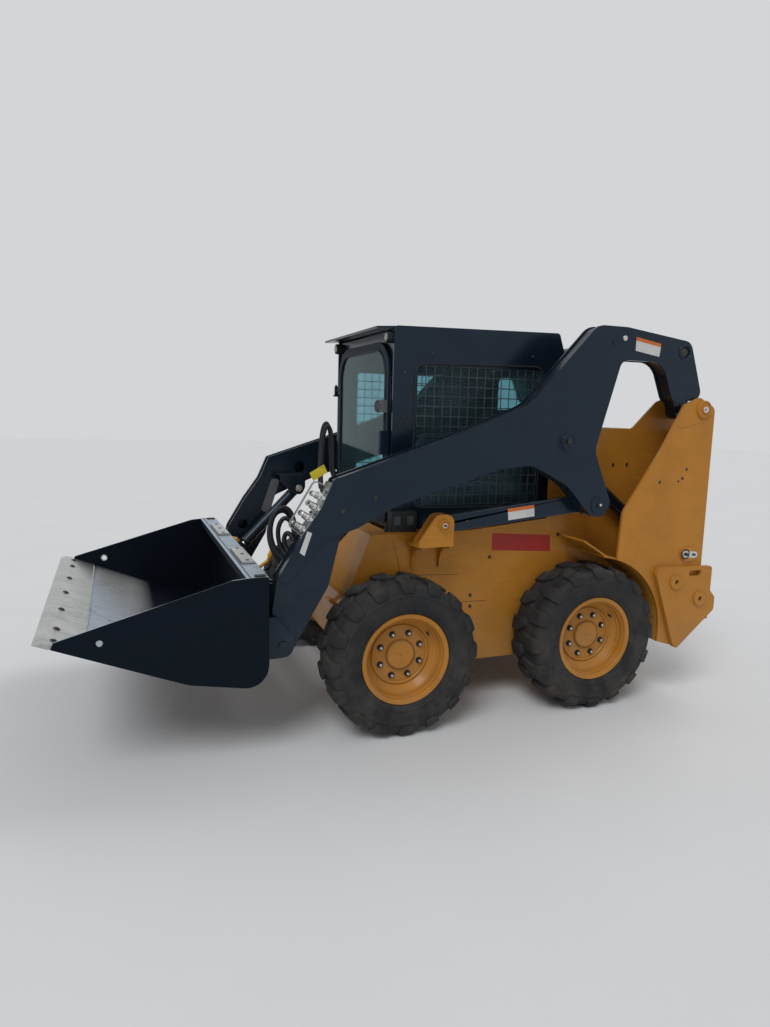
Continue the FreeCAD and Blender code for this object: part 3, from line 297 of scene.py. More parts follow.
def build_scratch_group():
    """Fine scratches drawn out along one direction, with bare patches between them."""
    group, given, wanted = new_group(
        "Long scratches",
        [("Place", "NodeSocketVector", None), ("Stretch", "NodeSocketVector", (1.0, 1.0, 1.0)),
         ("Amount", "NodeSocketFloat", 0.5)],
        [("Mask", "NodeSocketFloat"), ("Height", "NodeSocketFloat")])
    stretched = add_node(group, "ShaderNodeVectorMath", (-650, 100),
                         {0: given["Place"], 1: given["Stretch"]}, operation="MULTIPLY")
    lines = add_node(group, "ShaderNodeTexNoise", (-450, 100),
                     {"Vector": stretched.outputs[0], "Scale": 18.0, "Detail": 6.0, "Roughness": 0.75})
    patches = add_node(group, "ShaderNodeTexNoise", (-450, -200),
                       {"Vector": given["Place"], "Scale": 3.0, "Detail": 4.0, "Roughness": 0.6})
    thin = ramp_between(group, lines.outputs["Fac"], 0.5, 0.62, (-250, 100))
    wide = ramp_between(group, patches.outputs["Fac"], 0.4, 0.6, (-250, -200))
    joined = add_node(group, "ShaderNodeMath", (0, 0), {0: thin, 1: wide}, operation="MULTIPLY")
    mask = add_node(group, "ShaderNodeMath", (200, 0), {0: joined.outputs[0], 1: given["Amount"]},
                    operation="MULTIPLY", use_clamp=True)
    group.links.new(mask.outputs[0], wanted["Mask"])
    group.links.new(lines.outputs["Fac"], wanted["Height"])
    return group


GROUPS = {}


def place_group(tree, name, place, inputs):
    return add_node(tree, "ShaderNodeGroup", place, inputs, node_tree=GROUPS[name]).outputs


def mix_colour(tree, share, first, second, place):
    """Mixes two colours; each may be a socket or a plain value."""
    node = add_node(tree, "ShaderNodeMix", place, {"Factor": share}, data_type="RGBA")
    for socket, value in ((MIX_FIRST_COLOUR, first), (MIX_SECOND_COLOUR, second)):
        feed(tree, node.inputs[socket], value if isinstance(value, bpy.types.NodeSocket) else (*value[:3], 1))
    return node.outputs[MIX_COLOUR_RESULT]


def mix_value(tree, share, first, second, place):
    inputs = {"Factor": share, MIX_FIRST_VALUE: first, MIX_SECOND_VALUE: second}
    return add_node(tree, "ShaderNodeMix", place, inputs, data_type="FLOAT").outputs[0]


def new_material(name, **sockets):
    """Material with its shader, the shader's plain values and the object's own coordinates."""
    material = bpy.data.materials.new(name)
    material.use_nodes = True
    tree = material.node_tree
    shader = tree.nodes["Principled BSDF"]
    for label, value in sockets.items():
        shader.inputs[label.replace("_", " ")].default_value = value
    place = add_node(tree, "ShaderNodeTexCoord", (-1300, 0)).outputs["Object"]
    return material, tree, shader.inputs, place


def add_bump(tree, sockets, height, strength, distance):
    bump = add_node(tree, "ShaderNodeBump", (-250, -400),
                    {"Height": height, "Strength": strength, "Distance": distance})
    tree.links.new(bump.outputs["Normal"], sockets["Normal"])


DUST_COLOUR = (0.30, 0.25, 0.19)
RUBBER_DUST_COLOUR = (0.17, 0.15, 0.125)
# Blue tint of the paint's reflections, matching the blue of the shade painted into the frame paint.
FRAME_SHINE = (0.45, 0.70, 1.0)


def clouded(tree, place, colour, second, scale):
    """Two near colours in clouds of a given scale."""
    return place_group(tree, "mottle", (-1000, 200), {
        "Place": place, "Colour": (*colour, 1), "Second colour": (*second, 1), "Scale": scale})


def scratched(tree, place, stretch, amount):
    return place_group(tree, "scratches", (-1000, -350),
                       {"Place": place, "Stretch": stretch, "Amount": amount})


def painted(name, colour, second, dust=0.35, clean_above=1.1, roughness=0.34, coat=0.2, scratches=0.0,
            shine=(1.0, 0.75, 0.45)):
    """Sprayed coat on steel: soft clouds, a fine orange peel, road dust and a few scratches."""
    material, tree, sockets, place = new_material(name, Coat_Weight=coat, Coat_Roughness=0.14,
                                                  Specular_IOR_Level=0.3, Specular_Tint=(*shine, 1))
    clouds = clouded(tree, place, colour, second, 5.0)
    dirt = place_group(tree, "dust", (-1000, -100),
                       {"Place": place, "Clean above": clean_above, "Amount": dust})
    marks = scratched(tree, place, (0.4, 3.0, 3.0), scratches)
    bared = [min(1, value * 1.5 + 0.02) for value in colour]
    worn = mix_colour(tree, marks["Mask"], clouds["Colour"], bared, (-600, 200))
    tree.links.new(mix_colour(tree, dirt["Mask"], worn, DUST_COLOUR, (-350, 200)), sockets["Base Color"])
    tree.links.new(mix_value(tree, dirt["Mask"], roughness, 0.8, (-350, 0)), sockets["Roughness"])
    add_bump(tree, sockets, clouds["Height"], 0.05, 0.001)
    return material


def bare_steel(name, colour, second, roughness=0.32, stretch=(1.0, 1.0, 6.0), amount=0.8):
    """Steel worn bright, with scratches drawn along its work."""
    material, tree, sockets, place = new_material(name, Metallic=0.9)
    clouds = clouded(tree, place, colour, second, 9.0)
    marks = scratched(tree, place, stretch, amount)
    darker = [value * 0.55 for value in colour]
    tree.links.new(mix_colour(tree, marks["Mask"], clouds["Colour"], darker, (-400, 200)),
                   sockets["Base Color"])
    tree.links.new(mix_value(tree, marks["Mask"], roughness, roughness + 0.25, (-400, 0)),
                   sockets["Roughness"])
    add_bump(tree, sockets, marks["Height"], 0.12, 0.0006)
    return material


def rubber(name, colour, second, dust=0.55, clean_above=0.9, roughness=0.72):
    """Black rubber with a matt skin, dry dust low down and fine moulding grain."""
    material, tree, sockets, place = new_material(name, Specular_IOR_Level=0.25)
    clouds = clouded(tree, place, colour, second, 12.0)
    dirt = place_group(tree, "dust", (-1000, -100),
                       {"Place": place, "Clean above": clean_above, "Amount": dust})
    tree.links.new(mix_colour(tree, dirt["Mask"], clouds["Colour"], RUBBER_DUST_COLOUR, (-350, 200)),
                   sockets["Base Color"])
    tree.links.new(mix_value(tree, dirt["Mask"], roughness, 0.92, (-350, 0)), sockets["Roughness"])
    add_bump(tree, sockets, clouds["Height"], 0.25, 0.001)
    return material


def moulded(name, colour, second, roughness=0.5):
    """Grained plastic."""
    material, tree, sockets, place = new_material(name, Specular_IOR_Level=0.3)
    clouds = clouded(tree, place, colour, second, 14.0)
    tree.links.new(clouds["Colour"], sockets["Base Color"])
    tree.links.new(mix_value(tree, clouds["Height"], roughness - 0.08, roughness + 0.12, (-350, 0)),
                   sockets["Roughness"])
    add_bump(tree, sockets, clouds["Height"], 0.3, 0.0008)
    return material


def glazing(name, colour, second, roughness=0.04, clear=0.97):
    """Tinted glass with a faint film of dust."""
    material, tree, sockets, place = new_material(name, Metallic=0.0, Transmission_Weight=clear, IOR=1.16)
    film = clouded(tree, place, colour, second, 2.5)
    tree.links.new(film["Colour"], sockets["Base Color"])
    tree.links.new(mix_value(tree, film["Height"], roughness, roughness + 0.06, (-350, 0)),
                   sockets["Roughness"])
    return material


# The floor's bare steel starts here. Behind it the floor stays black, which is partly wear and partly painted
# shade of the side plates' shadow across the back of the floor.
BUCKET_STEEL_AND_SHADE_FROM = at(1.62, 0, 0).x
BUCKET_WORN_OVER = 0.16  # length over which the paint wears away towards the cutting edge
BUCKET_LEDGE_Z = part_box("bucket")[1].z


def bucket_finish(name, paint, steel):
    """Black paint, worn through to steel on the floor and the ledge where loads slide; the black at the back of
    the floor also stands in for the side plates' shadow, a painted shade.
    """
    material, tree, sockets, place = new_material(name, Coat_Weight=0.05, Coat_Roughness=0.3,
                                                  Specular_IOR_Level=0.18, Specular_Tint=(*FRAME_SHINE, 1))
    split = add_node(tree, "ShaderNodeSeparateXYZ", (-1100, 400), {"Vector": place})
    facing = add_node(tree, "ShaderNodeSeparateXYZ", (-1100, 600),
                      {"Vector": add_node(tree, "ShaderNodeNewGeometry", (-1300, 600)).outputs["Normal"]})
    upward = ramp_between(tree, facing.outputs["Z"], 0.62, 0.82, (-900, 600))
    forward = ramp_between(tree, split.outputs["X"], BUCKET_STEEL_AND_SHADE_FROM, BUCKET_STEEL_AND_SHADE_FROM + BUCKET_WORN_OVER,
                           (-900, 420))
    ledge = ramp_between(tree, split.outputs["Z"], BUCKET_LEDGE_Z - 0.01, BUCKET_LEDGE_Z - 0.004, (-900, 240))
    reach = add_node(tree, "ShaderNodeMath", (-700, 400), {0: forward, 1: ledge}, operation="MAXIMUM")
    marks = scratched(tree, place, (0.5, 5.0, 1.0), 1.0)
    clouds = add_node(tree, "ShaderNodeTexNoise", (-1000, -100),
                      {"Vector": place, "Scale": 6.0, "Detail": 9.0, "Roughness": 0.75})
    patchy = ramp_between(tree, clouds.outputs["Fac"], 0.30, 0.44, (-800, -100))
    both = add_node(tree, "ShaderNodeMath", (-500, 400), {0: upward, 1: reach.outputs[0]},
                    operation="MULTIPLY")
    worn = add_node(tree, "ShaderNodeMath", (-350, 400), {0: both.outputs[0], 1: patchy},
                    operation="MULTIPLY", use_clamp=True)
    streaked = mix_colour(tree, marks["Mask"], steel, [value * 0.6 for value in steel], (-500, 100))
    tree.links.new(mix_colour(tree, worn.outputs[0], paint, streaked, (-250, 200)), sockets["Base Color"])
    tree.links.new(mix_value(tree, worn.outputs[0], 0.5, 0.36, (-250, 0)), sockets["Roughness"])
    tree.links.new(mix_value(tree, worn.outputs[0], 0.0, 0.75, (-250, -150)), sockets["Metallic"])
    add_bump(tree, sockets, marks["Height"], 0.1, 0.0006)
    return material


class LoaderPaintSettings(bpy.types.PropertyGroup):
    """Colours of the loader's finishes."""

    body_paint: bpy.props.FloatVectorProperty(
        name="Body paint", description="Chassis, towers, weights and rims", subtype="COLOR", size=3,
        default=(0.47, 0.195, 0.024), min=0, max=1)
    # Blue-black: black paint with the blue of skylit shade painted into its colour.
    frame_paint: bpy.props.FloatVectorProperty(
        name="Frame paint", description="Arms, links and cab", subtype="COLOR", size=3,
        default=(0.0045, 0.0085, 0.0155), min=0, max=1)
    # Blue-black like the frame paint: the blue of skylit shade is painted into the bucket's black.
    bucket_paint: bpy.props.FloatVectorProperty(
        name="Bucket paint", description="Outside of the bucket", subtype="COLOR", size=3,
        default=(0.0022, 0.0032, 0.0062), min=0, max=1)
    worn_steel: bpy.props.FloatVectorProperty(
        name="Worn steel", description="Cutting edge and bucket floor", subtype="COLOR", size=3,
        default=(0.58, 0.58, 0.57), min=0, max=1)
    glass_tint: bpy.props.FloatVectorProperty(
        name="Glass tint", description="Cab glass", subtype="COLOR", size=3,
        default=(0.34, 0.56, 0.60), min=0, max=1)


# The edge finishes of the body and frame paint are lighter copies of the paint on every rounded edge: a painted
# highlight. The bucket's edge finish is bare steel wear.
CAD_FINISHES = [  # finish, edge finish, edge width, name starts
    ("body paint", "body edge painted highlight", 0.0016, ("chassis", "tower_", "fenders", "side_weights", "axle_housings",
                                             "rear_door", "hood", "rear_bumper", "rim_", "link_brackets")),
    ("frame paint", "frame edge painted highlight", 0.0018, ("arm_", "tilt_brackets", "control_links", "rear_links",
                                               "cab_side", "cab_roof", "cab_rear", "cab_front",
                                               "side_screens", "rear_grille", "coupler", "lift_barrel",
                                               "tilt_barrel", "seat_pan")),
    ("bar paint", None, 0.0, ("lap_bar", "controls")),
    ("bucket paint", "worn bucket edge", 0.0014, ("bucket",)),
    ("worn steel", None, 0.0010, ("cutting_edge", "bucket_pads")),
    ("polished rod", None, 0.0008, ("lift_rod", "tilt_rod")),
    ("plated steel", None, 0.0006, ("lobe_pins",)),
    ("zinc plate", None, 0.0006, ("aux_couplers",)),
    ("cab glass", None, 0.0, ("cab_glass", "door_glass")),
    ("seat vinyl", None, 0.0, ("seat",)),
    ("black plastic", None, 0.001, ("work_lamps",)),
    ("matt frame paint", None, 0.0012, ("door_frame",)),
    ("red lens", None, 0.001, ("tail_lamps",)),
    ("engine iron", None, 0.002, ("engine",)),
    ("tyre rubber", None, 0.0, ("tyre_",)),
    ("lever paint", None, 0.001, ("coupler_levers",)),
]
WHOLE_NAMES = ("bucket", "seat")  # these stand for one node each, not for every name that starts so


class LOADER_OT_mix_finishes(bpy.types.Operator):
    """Builds the shared node groups and every finish"""

    bl_idname = "loader.mix_finishes"
    bl_label = "Mix Finishes"

    def execute(self, context):
        colours = context.scene.loader_paint
        GROUPS["mottle"] = build_mottle_group()
        GROUPS["dust"] = build_dust_group()
        GROUPS["scratches"] = build_scratch_group()
        body = tuple(colours.body_paint)
        dark = tuple(colours.frame_paint)
        steel = tuple(colours.worn_steel)
        tint = tuple(colours.glass_tint)
        deeper = [value * 0.82 for value in body]
        lighter = [value * 1.4 for value in dark]
        FINISHES.update({
            "body paint": painted("Body paint", body, deeper, dust=0.4, clean_above=0.75, scratches=0.15),
            # Lighter yellow on the rounded edges: a painted highlight.
            "body edge painted highlight": painted("Body paint edge", [min(1, value * 1.35) for value in body], body,
                                      dust=0.1),
            "frame paint": painted("Frame paint", dark, lighter, dust=0.12, roughness=0.26, coat=0.25,
                                   scratches=0.05, shine=FRAME_SHINE),
            # Light blue-grey on the arms' and cab's rounded edges: a painted highlight.
            "frame edge painted highlight": painted("Frame paint edge", (0.11, 0.13, 0.155), (0.04, 0.05, 0.062), dust=0.1,
                                       roughness=0.3, shine=FRAME_SHINE),
            "matt frame paint": painted("Matt frame paint", dark, lighter, dust=0.1, roughness=0.6, coat=0.0,
                                        shine=FRAME_SHINE),
            "bar paint": painted("Bar paint", (0.02, 0.021, 0.024), (0.03, 0.031, 0.035), dust=0.15, coat=0.1,
                                 shine=FRAME_SHINE),
            "bucket paint": bucket_finish("Bucket paint", tuple(colours.bucket_paint), steel),
            "worn bucket edge": bare_steel("Bucket edge", (0.42, 0.42, 0.42), (0.16, 0.16, 0.16), amount=0.6),
            "worn steel": bare_steel("Worn steel", steel, [value * 0.75 for value in steel],
                                     stretch=(0.4, 5.0, 0.4)),
            "polished rod": bare_steel("Polished rod", (0.78, 0.79, 0.80), (0.70, 0.71, 0.72), roughness=0.12,
                                       amount=0.15),
            "plated steel": bare_steel("Plated steel", (0.72, 0.72, 0.70), (0.55, 0.55, 0.53), roughness=0.25,
                                       amount=0.4),
            "zinc plate": bare_steel("Zinc plate", (0.34, 0.35, 0.36), (0.22, 0.23, 0.24), roughness=0.38,
                                     amount=0.5),
            "dark bolt": bare_steel("Dark bolt", (0.05, 0.048, 0.045), (0.09, 0.085, 0.08), roughness=0.45,
                                    amount=0.3),
            "tyre rubber": rubber("Tyre rubber", (0.013, 0.014, 0.016), (0.022, 0.023, 0.025), dust=0.4),
            "hose rubber": rubber("Hose rubber", (0.006, 0.007, 0.009), (0.011, 0.012, 0.015), dust=0.05,
                                  roughness=0.45),
            "black plastic": moulded("Black plastic", (0.011, 0.012, 0.014), (0.018, 0.019, 0.021)),
            "seat vinyl": moulded("Seat vinyl", (0.028, 0.028, 0.030), (0.045, 0.044, 0.046), roughness=0.55),
            "cab glass": glazing("Cab glass", tint, [value * 1.25 for value in tint]),
            "lamp lens": glazing("Lamp lens", (0.75, 0.76, 0.74), (0.62, 0.63, 0.62), roughness=0.12,
                                 clear=0.35),
            "smoked lens": glazing("Smoked lens", (0.10, 0.13, 0.14), (0.14, 0.17, 0.18), roughness=0.12,
                                   clear=0.3),
            "red lens": glazing("Red lens", (0.50, 0.02, 0.015), (0.36, 0.01, 0.01), roughness=0.1,
                                clear=0.3),
            "engine iron": painted("Engine iron", (0.10, 0.10, 0.095), (0.14, 0.135, 0.12), dust=0.5,
                                   coat=0.0, roughness=0.6),
            "white plate": moulded("White plate", (0.62, 0.62, 0.60), (0.54, 0.54, 0.52), roughness=0.4),
            "red plate": moulded("Red plate", (0.42, 0.03, 0.02), (0.34, 0.025, 0.02), roughness=0.4),
            "orange plate": moulded("Orange plate", (0.62, 0.16, 0.03), (0.52, 0.12, 0.02), roughness=0.4),
            "grey pad": moulded("Grey pad", (0.095, 0.10, 0.11), (0.125, 0.13, 0.14), roughness=0.8),
            "lever paint": painted("Lever paint", (0.66, 0.33, 0.03), (0.55, 0.26, 0.02), dust=0.2),
            "reflector": moulded("Yellow tag", (0.60, 0.48, 0.03), (0.48, 0.38, 0.02), roughness=0.5),
        })
        return {"FINISHED"}


class LOADER_OT_paint_solids(bpy.types.Operator):
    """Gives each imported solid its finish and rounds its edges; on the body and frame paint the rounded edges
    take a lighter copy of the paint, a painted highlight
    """

    bl_idname = "loader.paint_solids"
    bl_label = "Paint Solids"

    def execute(self, context):
        for node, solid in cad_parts.items():
            row = next((row for row in CAD_FINISHES for start in row[3]
                        if node == start or (node.startswith(start) and start not in WHOLE_NAMES)), None)
            if row is None:
                raise RuntimeError("no finish for %s" % node)
            finish, edge_finish, width, _ = row
            solid.data.materials.clear()
            solid.data.materials.append(FINISHES[finish])
            if edge_finish:
                solid.data.materials.append(FINISHES[edge_finish])
            weld = solid.modifiers.new("Join faces", "WELD")
            weld.merge_threshold = 0.00002
            if width:
                edge_round = round_edges(solid, width, SOLID_SHARP_ANGLE)
                edge_round.harden_normals = True
                # The rounded edges take the edge finish: a painted highlight on body and frame paint, bare steel
                # on the bucket.
                edge_round.material = 1 if edge_finish else -1
        return {"FINISHED"}


def wheels():
    """Name, centre and outward side of each wheel."""
    for end in ("front", "rear"):
        for label, side in SIDES:
            yield "%s_%s" % (end, label), middle_of("tyre_%s_%s" % (end, label)), side


class LoaderTyreSettings(bpy.types.PropertyGroup):
    """Tread of the tyres."""

    lugs_per_side: bpy.props.IntProperty(
        name="Lugs per side", description="Lugs on each half of the tread", default=16, min=8, max=24)
    tread_depth: bpy.props.FloatProperty(
        name="Tread depth", description="Height of a lug at the crown", default=0.0165, min=0, unit="LENGTH")
    rounding: bpy.props.FloatProperty(
        name="Lug rounding", description="Rounding of a lug's edges", default=0.005, min=0, unit="LENGTH")


CASING_LINE = [  # out from the tyre's middle plane and radius, down to the bead, with two moulded ribs
    (0.000, 0.3684), (0.050, 0.3682), (0.092, 0.3668), (0.108, 0.3625), (0.1185, 0.3530), (0.1250, 0.3400),
    (0.1285, 0.3260), (0.1298, 0.3190), (0.1319, 0.3172), (0.1319, 0.3128), (0.1306, 0.3108), (0.1315, 0.2950),
    (0.1310, 0.2800), (0.1288, 0.2640), (0.1258, 0.2548), (0.1270, 0.2525), (0.1264, 0.2482), (0.1234, 0.2466),
    (0.1212, 0.2400), (0.1190, 0.2335), (0.1172, 0.2290), (0.1145, 0.2264), (0.1060, 0.2247), (0.1028, 0.2225),
    (0.1028, 0.2056),
]
LUG_OUTLINE = [  # along the tread, out along the casing's line
    (-0.046, -0.006), (0.004, -0.006), (0.044, 0.050), (0.044, 0.128), (0.036, 0.150), (-0.022, 0.150),
    (-0.028, 0.128), (-0.028, 0.064),
]
LUG_LOW, LUG_END = -0.014, 0.150
LUG_CUTS_OUT = (0.03, 0.06, 0.085, 0.1, 0.113, 0.125, 0.138)  # where a lug bends over the shoulder
LUG_CUTS_ALONG = (-0.03, -0.01, 0.01, 0.03)
LUG_THINS_FROM, LUG_THINS_BY = 0.1, 0.55  # towards its outer end a lug gets lower
SHOULDER_FROM, SHOULDER_RUN, SHOULDER_LEAN = 0.086, 0.06, math.radians(68)
CASING_STEPS = 112


def held(value):
    """Value kept between 0 and 1."""
    return min(max(value, 0.0), 1.0)


def casing_place(distance):
    """Point on the casing's line at a distance from its middle, and the way out of the rubber."""
    left = abs(distance)
    for (low_out, low_radius), (high_out, high_radius) in zip(CASING_LINE, CASING_LINE[1:]):
        run = Vector((high_out - low_out, high_radius - low_radius))
        if left <= run.length:
            break
        left -= run.length
    along = run.normalized()
    point = Vector((low_out, low_radius)) + along * left
    lean = held((abs(distance) - SHOULDER_FROM) / SHOULDER_RUN) * SHOULDER_LEAN
    facing = math.copysign(1, distance)
    return point.x * facing, point.y, math.sin(lean) * facing, math.cos(lean)


def build_lug(settings):
    """One tread lug, cut from its outline, rounded, then bent round the casing at the tyre's top."""
    bm = bmesh.new()
    face = bm.faces.new([bm.verts.new((along, out, LUG_LOW)) for along, out in LUG_OUTLINE])
    raised = new_vertices(bmesh.ops.extrude_face_region(bm, geom=[face]))
    bmesh.ops.translate(bm, verts=raised, vec=(0, 0, settings.tread_depth - LUG_LOW))
    outer_edges = [edge for edge in bm.edges if max(vertex.co.z for vertex in edge.verts) > 0]
    bmesh.ops.bevel(bm, geom=outer_edges, offset=settings.rounding, affect="EDGES", segments=2, profile=0.5,
                    material=-1)
    for out in LUG_CUTS_OUT:
        bmesh.ops.bisect_plane(bm, geom=whole(bm), plane_co=(0, out, 0), plane_no=(0, 1, 0))
    for along in LUG_CUTS_ALONG:
        bmesh.ops.bisect_plane(bm, geom=whole(bm), plane_co=(along, 0, 0), plane_no=(1, 0, 0))
    for vertex in bm.verts:
        along, out, height = vertex.co
        if height > 0:
            height *= 1 - LUG_THINS_BY * held((out - LUG_THINS_FROM) / (LUG_END - LUG_THINS_FROM))
        side, radius, side_lean, radius_lean = casing_place(out)
        reach = radius + radius_lean * height
        angle = along / CASING_LINE[0][1]
        vertex.co = (reach * math.sin(angle), side + side_lean * height, reach * math.cos(angle))
    return bm


class LOADER_OT_build_tyres(bpy.types.Operator):
    """Spins the tyres with their ribs and sets the tread's lugs round them"""

    bl_idname = "loader.build_tyres"
    bl_label = "Build Tyres"

    def execute(self, context):
        settings = context.scene.loader_tyres
        count = settings.lugs_per_side
        bm = build_lug(settings)
        bmesh.ops.spin(bm, geom=whole(bm), cent=(0, 0, 0), axis=(0, 1, 0), dvec=(0, 0, 0),
                       angle=math.tau * (count - 1) / count, steps=count - 1, use_duplicate=True)
        far_half = new_vertices(bmesh.ops.duplicate(bm, geom=whole(bm)))
        bmesh.ops.scale(bm, vec=(1, -1, 1), verts=far_half)
        bmesh.ops.rotate(bm, verts=far_half, cent=(0, 0, 0), matrix=Matrix.Rotation(math.pi / count, 3, "Y"))
        line = CASING_LINE + [(-out, radius) for out, radius in reversed(CASING_LINE[1:])]
        section = [bm.verts.new((0, out, radius)) for out, radius in line]
        edges = [bm.edges.new(pair) for pair in zip(section, section[1:] + section[:1])]
        bmesh.ops.spin(bm, geom=section + edges, cent=(0, 0, 0), axis=(0, 1, 0), dvec=(0, 0, 0),
                       angle=math.tau, steps=CASING_STEPS, use_merge=True, use_duplicate=False)
        wear(bm.verts, "tyre rubber")
        for name, centre, side in wheels():
            tyre = bm.copy()
            bmesh.ops.scale(tyre, vec=(1, side, 1), verts=tyre.verts[:])
            bmesh.ops.translate(tyre, verts=tyre.verts[:], vec=centre)
            piece = finish_piece(tyre, "tyre_rubber_" + name, "wheel_" + name, bevel=0)
            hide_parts("tyre_" + name)
        bm.free()
        return {"FINISHED"}


RIM_RINGS = [  # out from the wheel's middle plane, radius, thickness
    (0.0262, 0.143, 0.016), (0.061, 0.1885, 0.013), (0.088, 0.1955, 0.008),
]
VALVE_ANGLE = 2.5
VALVE_BARS = [  # foot and tip as radius and way out, bar radius
    ((0.168, 0.030), (0.163, 0.062), 0.004), ((0.164, 0.058), (0.1622, 0.070), 0.0055),
]


class LoaderWheelSettings(bpy.types.PropertyGroup):
    """Fittings of the wheels."""

    bolts: bpy.props.IntProperty(name="Wheel bolts", description="Bolts on a wheel", default=8, min=4, max=12)
    bolt_circle: bpy.props.FloatProperty(
        name="Bolt circle", description="Radius that the wheel bolts stand on", default=0.11, unit="LENGTH")


class LOADER_OT_fit_wheels(bpy.types.Operator):
    """Fits the wheel bolts, the hub caps and the valves"""

    bl_idname = "loader.fit_wheels"
    bl_label = "Fit Wheels"

    def execute(self, context):
        settings = context.scene.loader_wheels
        for name, centre, side in wheels():
            outward = LEFT * side
            bm = bmesh.new()
            for index in range(settings.bolts):
                angle = math.tau * (index + 0.5) / settings.bolts
                foot = centre + Vector((math.cos(angle), 0, math.sin(angle))) * settings.bolt_circle
                add_bolt(bm, foot + outward * 0.024, outward, 0.023)
                add_round(bm, foot + outward * 0.034, outward, 0.007, 0.006, 16, 0.006, "plated steel")
            add_round(bm, centre + outward * 0.0335, outward, 0.0705, 0.006, 56, 0.066, "body paint")
            add_ring(bm, centre + outward * 0.0345, outward, 0.0728, 0.0022)
            add_round(bm, centre + outward * 0.0395, outward, 0.003, 0.001, 12)
            for out, radius, thickness in RIM_RINGS:
                add_ring(bm, centre + outward * out, outward, radius, thickness, 72, finish="body paint")
            spoke = Vector((math.cos(VALVE_ANGLE), 0, math.sin(VALVE_ANGLE)))
            for (foot, low), (tip, high), radius in VALVE_BARS:
                add_bar(bm, centre + spoke * foot + outward * low, centre + spoke * tip + outward * high,
                        radius)
            finish_piece(bm, "wheel_fittings_" + name, "wheel_" + name)
        return {"FINISHED"}


STADIUM_STEPS = 8  # steps of each round end


def add_stadium(bm, start, end, axis, radius, height, finish="dark bolt"):
    """Round-ended plate between two places, standing off a face."""
    axis = Vector(axis).normalized()
    run = (end - start).normalized()
    across = axis.cross(run)
    corners = []
    for centre, first in ((end, -90), (start, 90)):
        for step in range(STADIUM_STEPS + 1):
            angle = math.radians(first + step * 180 / STADIUM_STEPS)
            corners.append(centre + (run * math.cos(angle) + across * math.sin(angle)) * radius)
    return add_sheet(bm, corners, axis, height, finish)


def add_weld(bm, points, radius, finish="dark bolt"):
    """Rippled weld bead along a few points."""
    for start, end in zip(points, points[1:]):
        run = end - start
        count = max(2, round(run.length / (radius * WELD_STEP)))
        for index in range(count):
            centre = start + run * ((index + 0.5) / count)
            made = bmesh.ops.create_icosphere(bm, subdivisions=1, radius=radius,
                                              matrix=Matrix.Translation(centre))
            wear(made["verts"], finish)


WELD_STEP = 1.3  # distance between a bead's ripples, in radii


def side_corners(rows, y):
    """Places on an upright plane, from rows of x and z."""
    return [at(x, y, z) for x, z in rows]


def over(face_y, spot, out=0.0):
    """Place a little out from an upright plate on the left side."""
    return at(spot[0], face_y + out, spot[1])


EDGE_BOLT_YS = (-0.77, -0.61, -0.31, 0.0, 0.31, 0.61, 0.77)
EDGE_BOLT_X, EDGE_BOLT_Z = 2.049, 0.6152
EDGE_SLOPE = math.radians(21.4)
EDGE_SEAM = (1.9375, 0.826, 0.5722)  # x, half width, z of the weld behind the cutting edge
SIDE_SEAM_Y, SIDE_SEAM_BEHIND_Y = 0.8295, 0.8370
SIDE_SEAMS_INSIDE = [((1.2175, 0.815), (1.2175, 0.42)), ((1.56, 0.4135), (1.93, 0.5615))]  # x, z at the ends
SIDE_SEAM_BEHIND = ((1.2060, 0.82), (1.2060, 0.44))
BUCKET_EYE_HOLES = [(1.311, 0.651), (1.880, 0.611)]  # x, z in the bucket's side plates
BUCKET_EYE_RINGS = [  # hole, y, way out
    (0, 0.8366, 1), (1, 0.8366, 1), (1, 0.8315, -1),
]
LEDGE_STRIPS = [  # low x, high x, near y, far y, low z, high z, finish
    (1.2095, 1.2755, 0.200, 0.560, 0.8352, 0.8372, "black plastic"),
    (1.2160, 1.2620, 0.796, 0.829, 0.8355, 0.8425, "black plastic"),
]
LEVER_LINES = [  # foot, elbow and top of each coupler lever's grip; the far one is folded down
    (at(1.1745, 0.450, 0.792), at(1.132, 0.452, 0.822), at(1.104, 0.458, 0.887)),
    (at(1.1745, -0.450, 0.780), at(1.148, -0.420, 0.776), at(1.148, -0.345, 0.776)),
]
LEVER_RADIUS, GRIP_RADIUS = 0.0085, 0.0135


